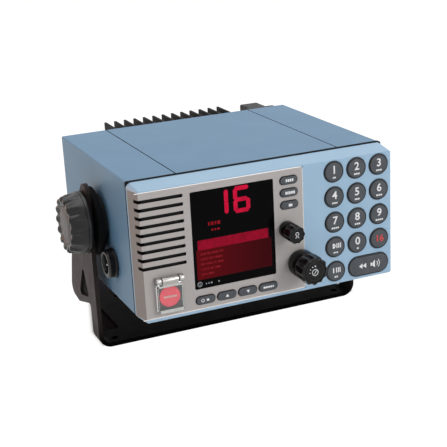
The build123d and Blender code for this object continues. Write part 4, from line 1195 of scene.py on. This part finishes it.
spot, bottom = rearSocket("antenna_socket")
for name, finish, steps, outline in (
        ("antenna_contact", bareMetal, 32,
         ((2.0, -0.1), (2.0, 8.0), (1.7, 8.3), (1.2, 8.3), (1.1, 8.0), (1.1, 2.0), (0.1, 2.0))),
        ("antenna_insulator", whiteInk, 48,
         ((5.6, -0.1), (5.6, 3.0), (5.3, 3.2), (2.2, 3.2), (2.05, 3.0), (2.05, -0.1)))):
    profile = [(radius, bottom + rise) for radius, rise in outline]
    attach(turned(name, profile, spot, finish, steps), "radio")
spot, bottom = rearSocket("power_socket")
contactPins("power_contacts", spot, rearLook["power_pins"], bottom - 0.1)


def hexLoop(radius, lift):
    # six flats, each with a point in the middle so that the corners can be eased
    ring = []
    for n in range(12):
        angle = math.radians(30 * n)
        reach = radius if n % 2 == 0 else radius * math.cos(math.radians(30))
        ring.append((reach * math.cos(angle), reach * math.sin(angle), lift))
    return ring


def hexNut(name, spot, foot):
    nut, height = rearLook["nut"], rearLook["nutHeight"]
    loops = [hexLoop(nut - 0.5, foot), hexLoop(nut, foot + 0.35), hexLoop(nut, foot + height - 0.35),
             hexLoop(nut - 0.5, foot + height)]
    return shell(name, loops, spot, zinc, sharp=25)


spot, foot, tip = rearSpot("earth_stud")
profile, at = [(0.2, foot), (2.6, foot), (3.0, foot + 0.4)], foot + 0.4
while at + 1.0 < tip - 0.6:
    profile += [(2.6, at + 0.2), (3.0, at + 0.55), (3.0, at + 0.75)]  # 1 mm thread
    at += 1.0
profile += [(2.6, tip - 0.3), (2.3, tip), (0.2, tip)]
nuts = [hexNut("earth_nut", spot, start) for start in (foot, 0.0, rearLook["nutHeight"] + 2.0)]
washer = turned("earth_washer", [(3.1, 4.6), (6.2, 4.6), (6.2, 5.6), (3.1, 5.6)], spot, zinc, 48)
thread = turned("earth_thread", profile, spot, zinc, 36)
settle(joined("earth_stud_set", [thread, washer] + nuts), "earth_stud")
print("sockets and stud at the back made")


# distress button, its surround and its cover

distressLook = {
    "x": -94.4, "z": 20.9,
    "front": 1.5,       # button face ahead of the set's face
    "radius": 8.8,
    "surround": 24.4, "low": 8.0, "high": 33.0,
    "hingeZ": 36.4, "hingeOut": 3.4, "knuckle": 3.0, "middle": 14.6, "clear": 0.8,
    "lid": 23.6, "lidLow": 8.4, "lidHigh": 32.6, "lidFront": 5.2, "lidWall": 1.2,
}
dx, dz, dr, df = (distressLook[part] for part in ("x", "z", "radius", "front"))
buttonSpot = faceAhead(dx, dz)
buttonProfile = [(dr + 1.0, -4.5), (dr + 1.0, -3.3), (dr, -3.3), (dr, df - 0.9), (dr - 0.12, df - 0.55),
                 (dr - 0.35, df - 0.3), (dr - 0.8, df - 0.12), (dr - 1.5, df - 0.1)]
buttonProfile += [(dr * share, df - 0.1 * share ** 2) for share in (0.7, 0.5, 0.3, 0.15, 0.02)]
settle(turned("distress_button_cap", buttonProfile, buttonSpot, signalRed, 96), "distress_button")
bar = flatMark("distress_button_bar", [barOutline(0, 0.1, 11.6, 1.7)], buttonSpot, paleRed, lambda a, b: df + 0.01)
attach(bar, bodyOf("distress_button"))


def ringShell(name, sections, spot, finish):
    # sections go once round the wall of a frame: (width, height, corner, lift)
    rings = [cornerLoop(width, height, corner, 0, lift) for width, height, corner, lift in sections]
    faces = banded(len(rings[0]), [(row, (row + 1) % len(rings)) for row in range(len(rings))])
    return newPiece(name, fromSpot(spot, sum(rings, [])), faces, finish)


def block(name, across, upward, depth, spot, finish):
    # a plain bar between the two values of each direction
    (left, right), (low, high) = across, upward
    corners = ((left, low), (right, low), (right, high), (left, high))
    return shell(name, [[(a, b, w) for a, b in corners] for w in depth], spot, finish)


rimWidth, rimLow, rimHigh = (distressLook[part] for part in ("surround", "low", "high"))
rimHeight = rimHigh - rimLow
rimSpot = faceAhead(dx, (rimHigh + rimLow) / 2)
hole = 2 * dr + 0.6
surround = ringShell("distress_rim", [
    (rimWidth - less, rimHeight - less, corner, lift) for less, corner, lift in (
        (0, 2.0, 0.0), (0, 2.0, 0.6), (0.3, 1.85, 0.82), (0.7, 1.7, 0.9), (2.0, 1.2, 0.9), (2.4, 1.0, 0.7),
        (2.4, 1.0, 0.0))], rimSpot, chrome)
# the floor inside the surround is drawn dark warm grey: painted shade under the cover
floorPlate = ringShell("distress_floor", [
    (rimWidth - 2.4, rimHeight - 2.4, 1.0, 0.0), (rimWidth - 2.4, rimHeight - 2.4, 1.0, 0.4),
    (hole, hole, hole / 2 - 0.001, 0.4), (hole, hole, hole / 2 - 0.001, 0.0)], buttonSpot, capGrey)


def knuckle(name, x0, x1, foot=False):
    # a barrel round the hinge pin; with a foot it stands on the face
    out, high, radius = distressLook["hingeOut"], distressLook["hingeZ"], distressLook["knuckle"]
    loops = []
    for inset, along in ((0.45, x0), (0.12, x0 + 0.15), (0.0, x0 + 0.5), (0.0, x1 - 0.5), (0.12, x1 - 0.15),
                         (0.45, x1)):
        ring = []
        for n in range(48):
            angle = 2 * math.pi * n / 48
            r = radius - inset
            a, b = r * math.cos(angle), r * math.sin(angle)
            if foot and a > 0:
                a = out - inset * 0.2 if abs(b) < r * 0.98 else a
            ring.append((a - out, high + b, along - x0))
        loops.append(ring)
    return shell(name, loops, spotAt((x0, radioY / mm, radioZ / mm), (0, 1, 0), (0, 0, 1), (1, 0, 0)), chrome)


half, gap, rimHalf = distressLook["middle"] / 2, distressLook["clear"], rimWidth / 2
left = knuckle("left_knuckle", dx - rimHalf, dx - half - gap, True)
right = knuckle("right_knuckle", dx + half + gap, dx + rimHalf, True)
hingeSpot = faceAhead(dx, distressLook["hingeZ"])
footBar = block("hinge_foot", (-rimHalf, rimHalf), (-5.2, 1.0), (0.0, 0.9), hingeSpot, chrome)
surround = joined("distress_surround", [surround, floorPlate, left, right, footBar])
settle(surround, "distress_bezel")

# the cover is a shallow clear box, open at the back; its hinge barrel is cast on
lidWidth, lidFront, lidWall = (distressLook[part] for part in ("lid", "lidFront", "lidWall"))
lidHeight = distressLook["lidHigh"] - distressLook["lidLow"]
lidSpot = faceAhead(dx, (distressLook["lidLow"] + distressLook["lidHigh"]) / 2)
outer = ((0, 2.0, 1.2), (0, 2.0, lidFront - 0.7), (0.25, 1.9, lidFront - 0.3), (0.7, 1.7, lidFront - 0.08),
         (1.3, 1.5, lidFront), (2 * lidWall, 0.8, lidFront - lidWall), (2 * lidWall, 0.8, 1.2))
rings = [cornerLoop(lidWidth - less, lidHeight - less, corner, 0, lift) for less, corner, lift in outer]
count = len(rings[0])
faces = banded(count, ((0, 1), (1, 2), (2, 3), (3, 4), (5, 6), (6, 0)))
faces.append(tuple(4 * count + i for i in range(count)))
faces.append(tuple(5 * count + i for i in reversed(range(count))))
lid = newPiece("cover_shell", fromSpot(lidSpot, sum(rings, [])), faces, polycarbonate)
lidBarrel = knuckle("cover_knuckle", dx - half, dx + half)
lidTab = block("cover_tab", (-7.0, 7.0), (-4.4, -1.2), (3.6, 5.2), hingeSpot, chrome)
# the pale lip and top edge are a painted highlight
edge = (-lidWidth / 2 + 1.5, lidWidth / 2 - 1.5)
fingerLip = block("cover_lip", edge, (-0.1, 2.6), (lidFront - 0.9, lidFront + 0.12),
                  faceAhead(dx, distressLook["lidLow"]), edgeHighlight)
topEdge = block("cover_top_edge", edge, (-1.7, -0.1), (lidFront - 0.9, lidFront + 0.1),
                faceAhead(dx, distressLook["lidHigh"]), edgeHighlight)
settle(joined("distress_cover_shell", [lid, lidBarrel, lidTab, fingerLip, topEdge]), "distress_cover")
print("distress group made")


# what the display shows, all behind the front of the window

displayLook = {
    "sunk": 0.01,       # the marks' feet, behind the front of the window
    "field": (-33.35, 42.2, 69.5, 26.2), "bar": (-33.9, 59.6, 65.2, 8.6),   # middle, width and height
    "one": -38.7, "left": -30.4, "right": -18.7,        # upright strokes of the digits
    "low": 83.8, "middle": 93.6, "high": 103.4,         # level strokes
    "stroke": 3.7,
}
windowFront = -(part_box("display_window")[0].y - radioY) / mm


def lit(name, outlines, ink):
    mark = flatMark(name, outlines, faceAhead(0, 0), ink, lambda a, b: windowFront - displayLook["sunk"])
    attach(mark, "radio")


lit("display_field", [barOutline(*displayLook["field"])], field)
lit("display_bar", [barOutline(*displayLook["bar"])], bandRed)


def stroke(x, z, length, upright):
    # one lit bar of a digit, pointed at both ends
    a, b = length / 2, displayLook["stroke"] / 2
    ring = [(-a, 0), (-a + b * 0.8, -b), (a - b * 0.8, -b), (a, 0), (a - b * 0.8, b), (-a + b * 0.8, b)]
    return [(x - q, z + p) if upright else (x + p, z + q) for p, q in ring]


one, left, right = (displayLook[part] for part in ("one", "left", "right"))
low, middle, high = (displayLook[part] for part in ("low", "middle", "high"))
wide, tall, midX = right - left - 0.5, high - middle - 0.5, (left + right) / 2
lowMid, highMid = (low + middle) / 2, (middle + high) / 2
digits = [stroke(x, z, length, True) for x, z, length in (
    (one, lowMid, tall + 2.2), (one, highMid, tall + 2.2), (left, highMid, tall + 1.2), (left, lowMid, tall + 1.2),
    (right, lowMid, tall + 1.2))]
digits += [stroke(midX, z, length, False) for z, length in ((high, wide + 2.2), (middle, wide), (low, wide + 2.2))]
lit("display_digits", digits, crimson)
lit("display_small_rows", dashes(-50.6, 77.0, (1.6, 2.2, 1.6, 2.4), 3.0, 1.0)
    + dashes(-49.6, 71.4, (2.0, 1.6, 2.4), 1.6, 0.8), dimRed)
rows = []
for n, widths in enumerate(((5.0, 3.2, 6.0, 4.0), (6.5, 4.5, 7.0), (4.0, 6.0, 2.5, 5.0), (7.5, 3.0, 5.0),
                            (5.5, 5.0))):
    x = -64.5 + sum(widths) / 2 + 0.5 * (len(widths) - 1)  # all rows start at the same left edge
    rows += dashes(x, 51.6 - 4.5 * n, widths, 1.8, 1.0)
lit("display_rows", rows, rowRed)
lit("display_marks", ringOutlines(-66.4, 25.3, 2.3, 1.6, steps=20) + [barOutline(-66.4, 25.3, 0.6, 2.0)]
    + dashes(-58.0, 25.0, (1.0, 1.0, 1.6), 1.3, 1.2) + dashes(-49.0, 25.0, (1.4,), 1.2, 1.0), greyInk)
print("display drawn")


low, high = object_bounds()
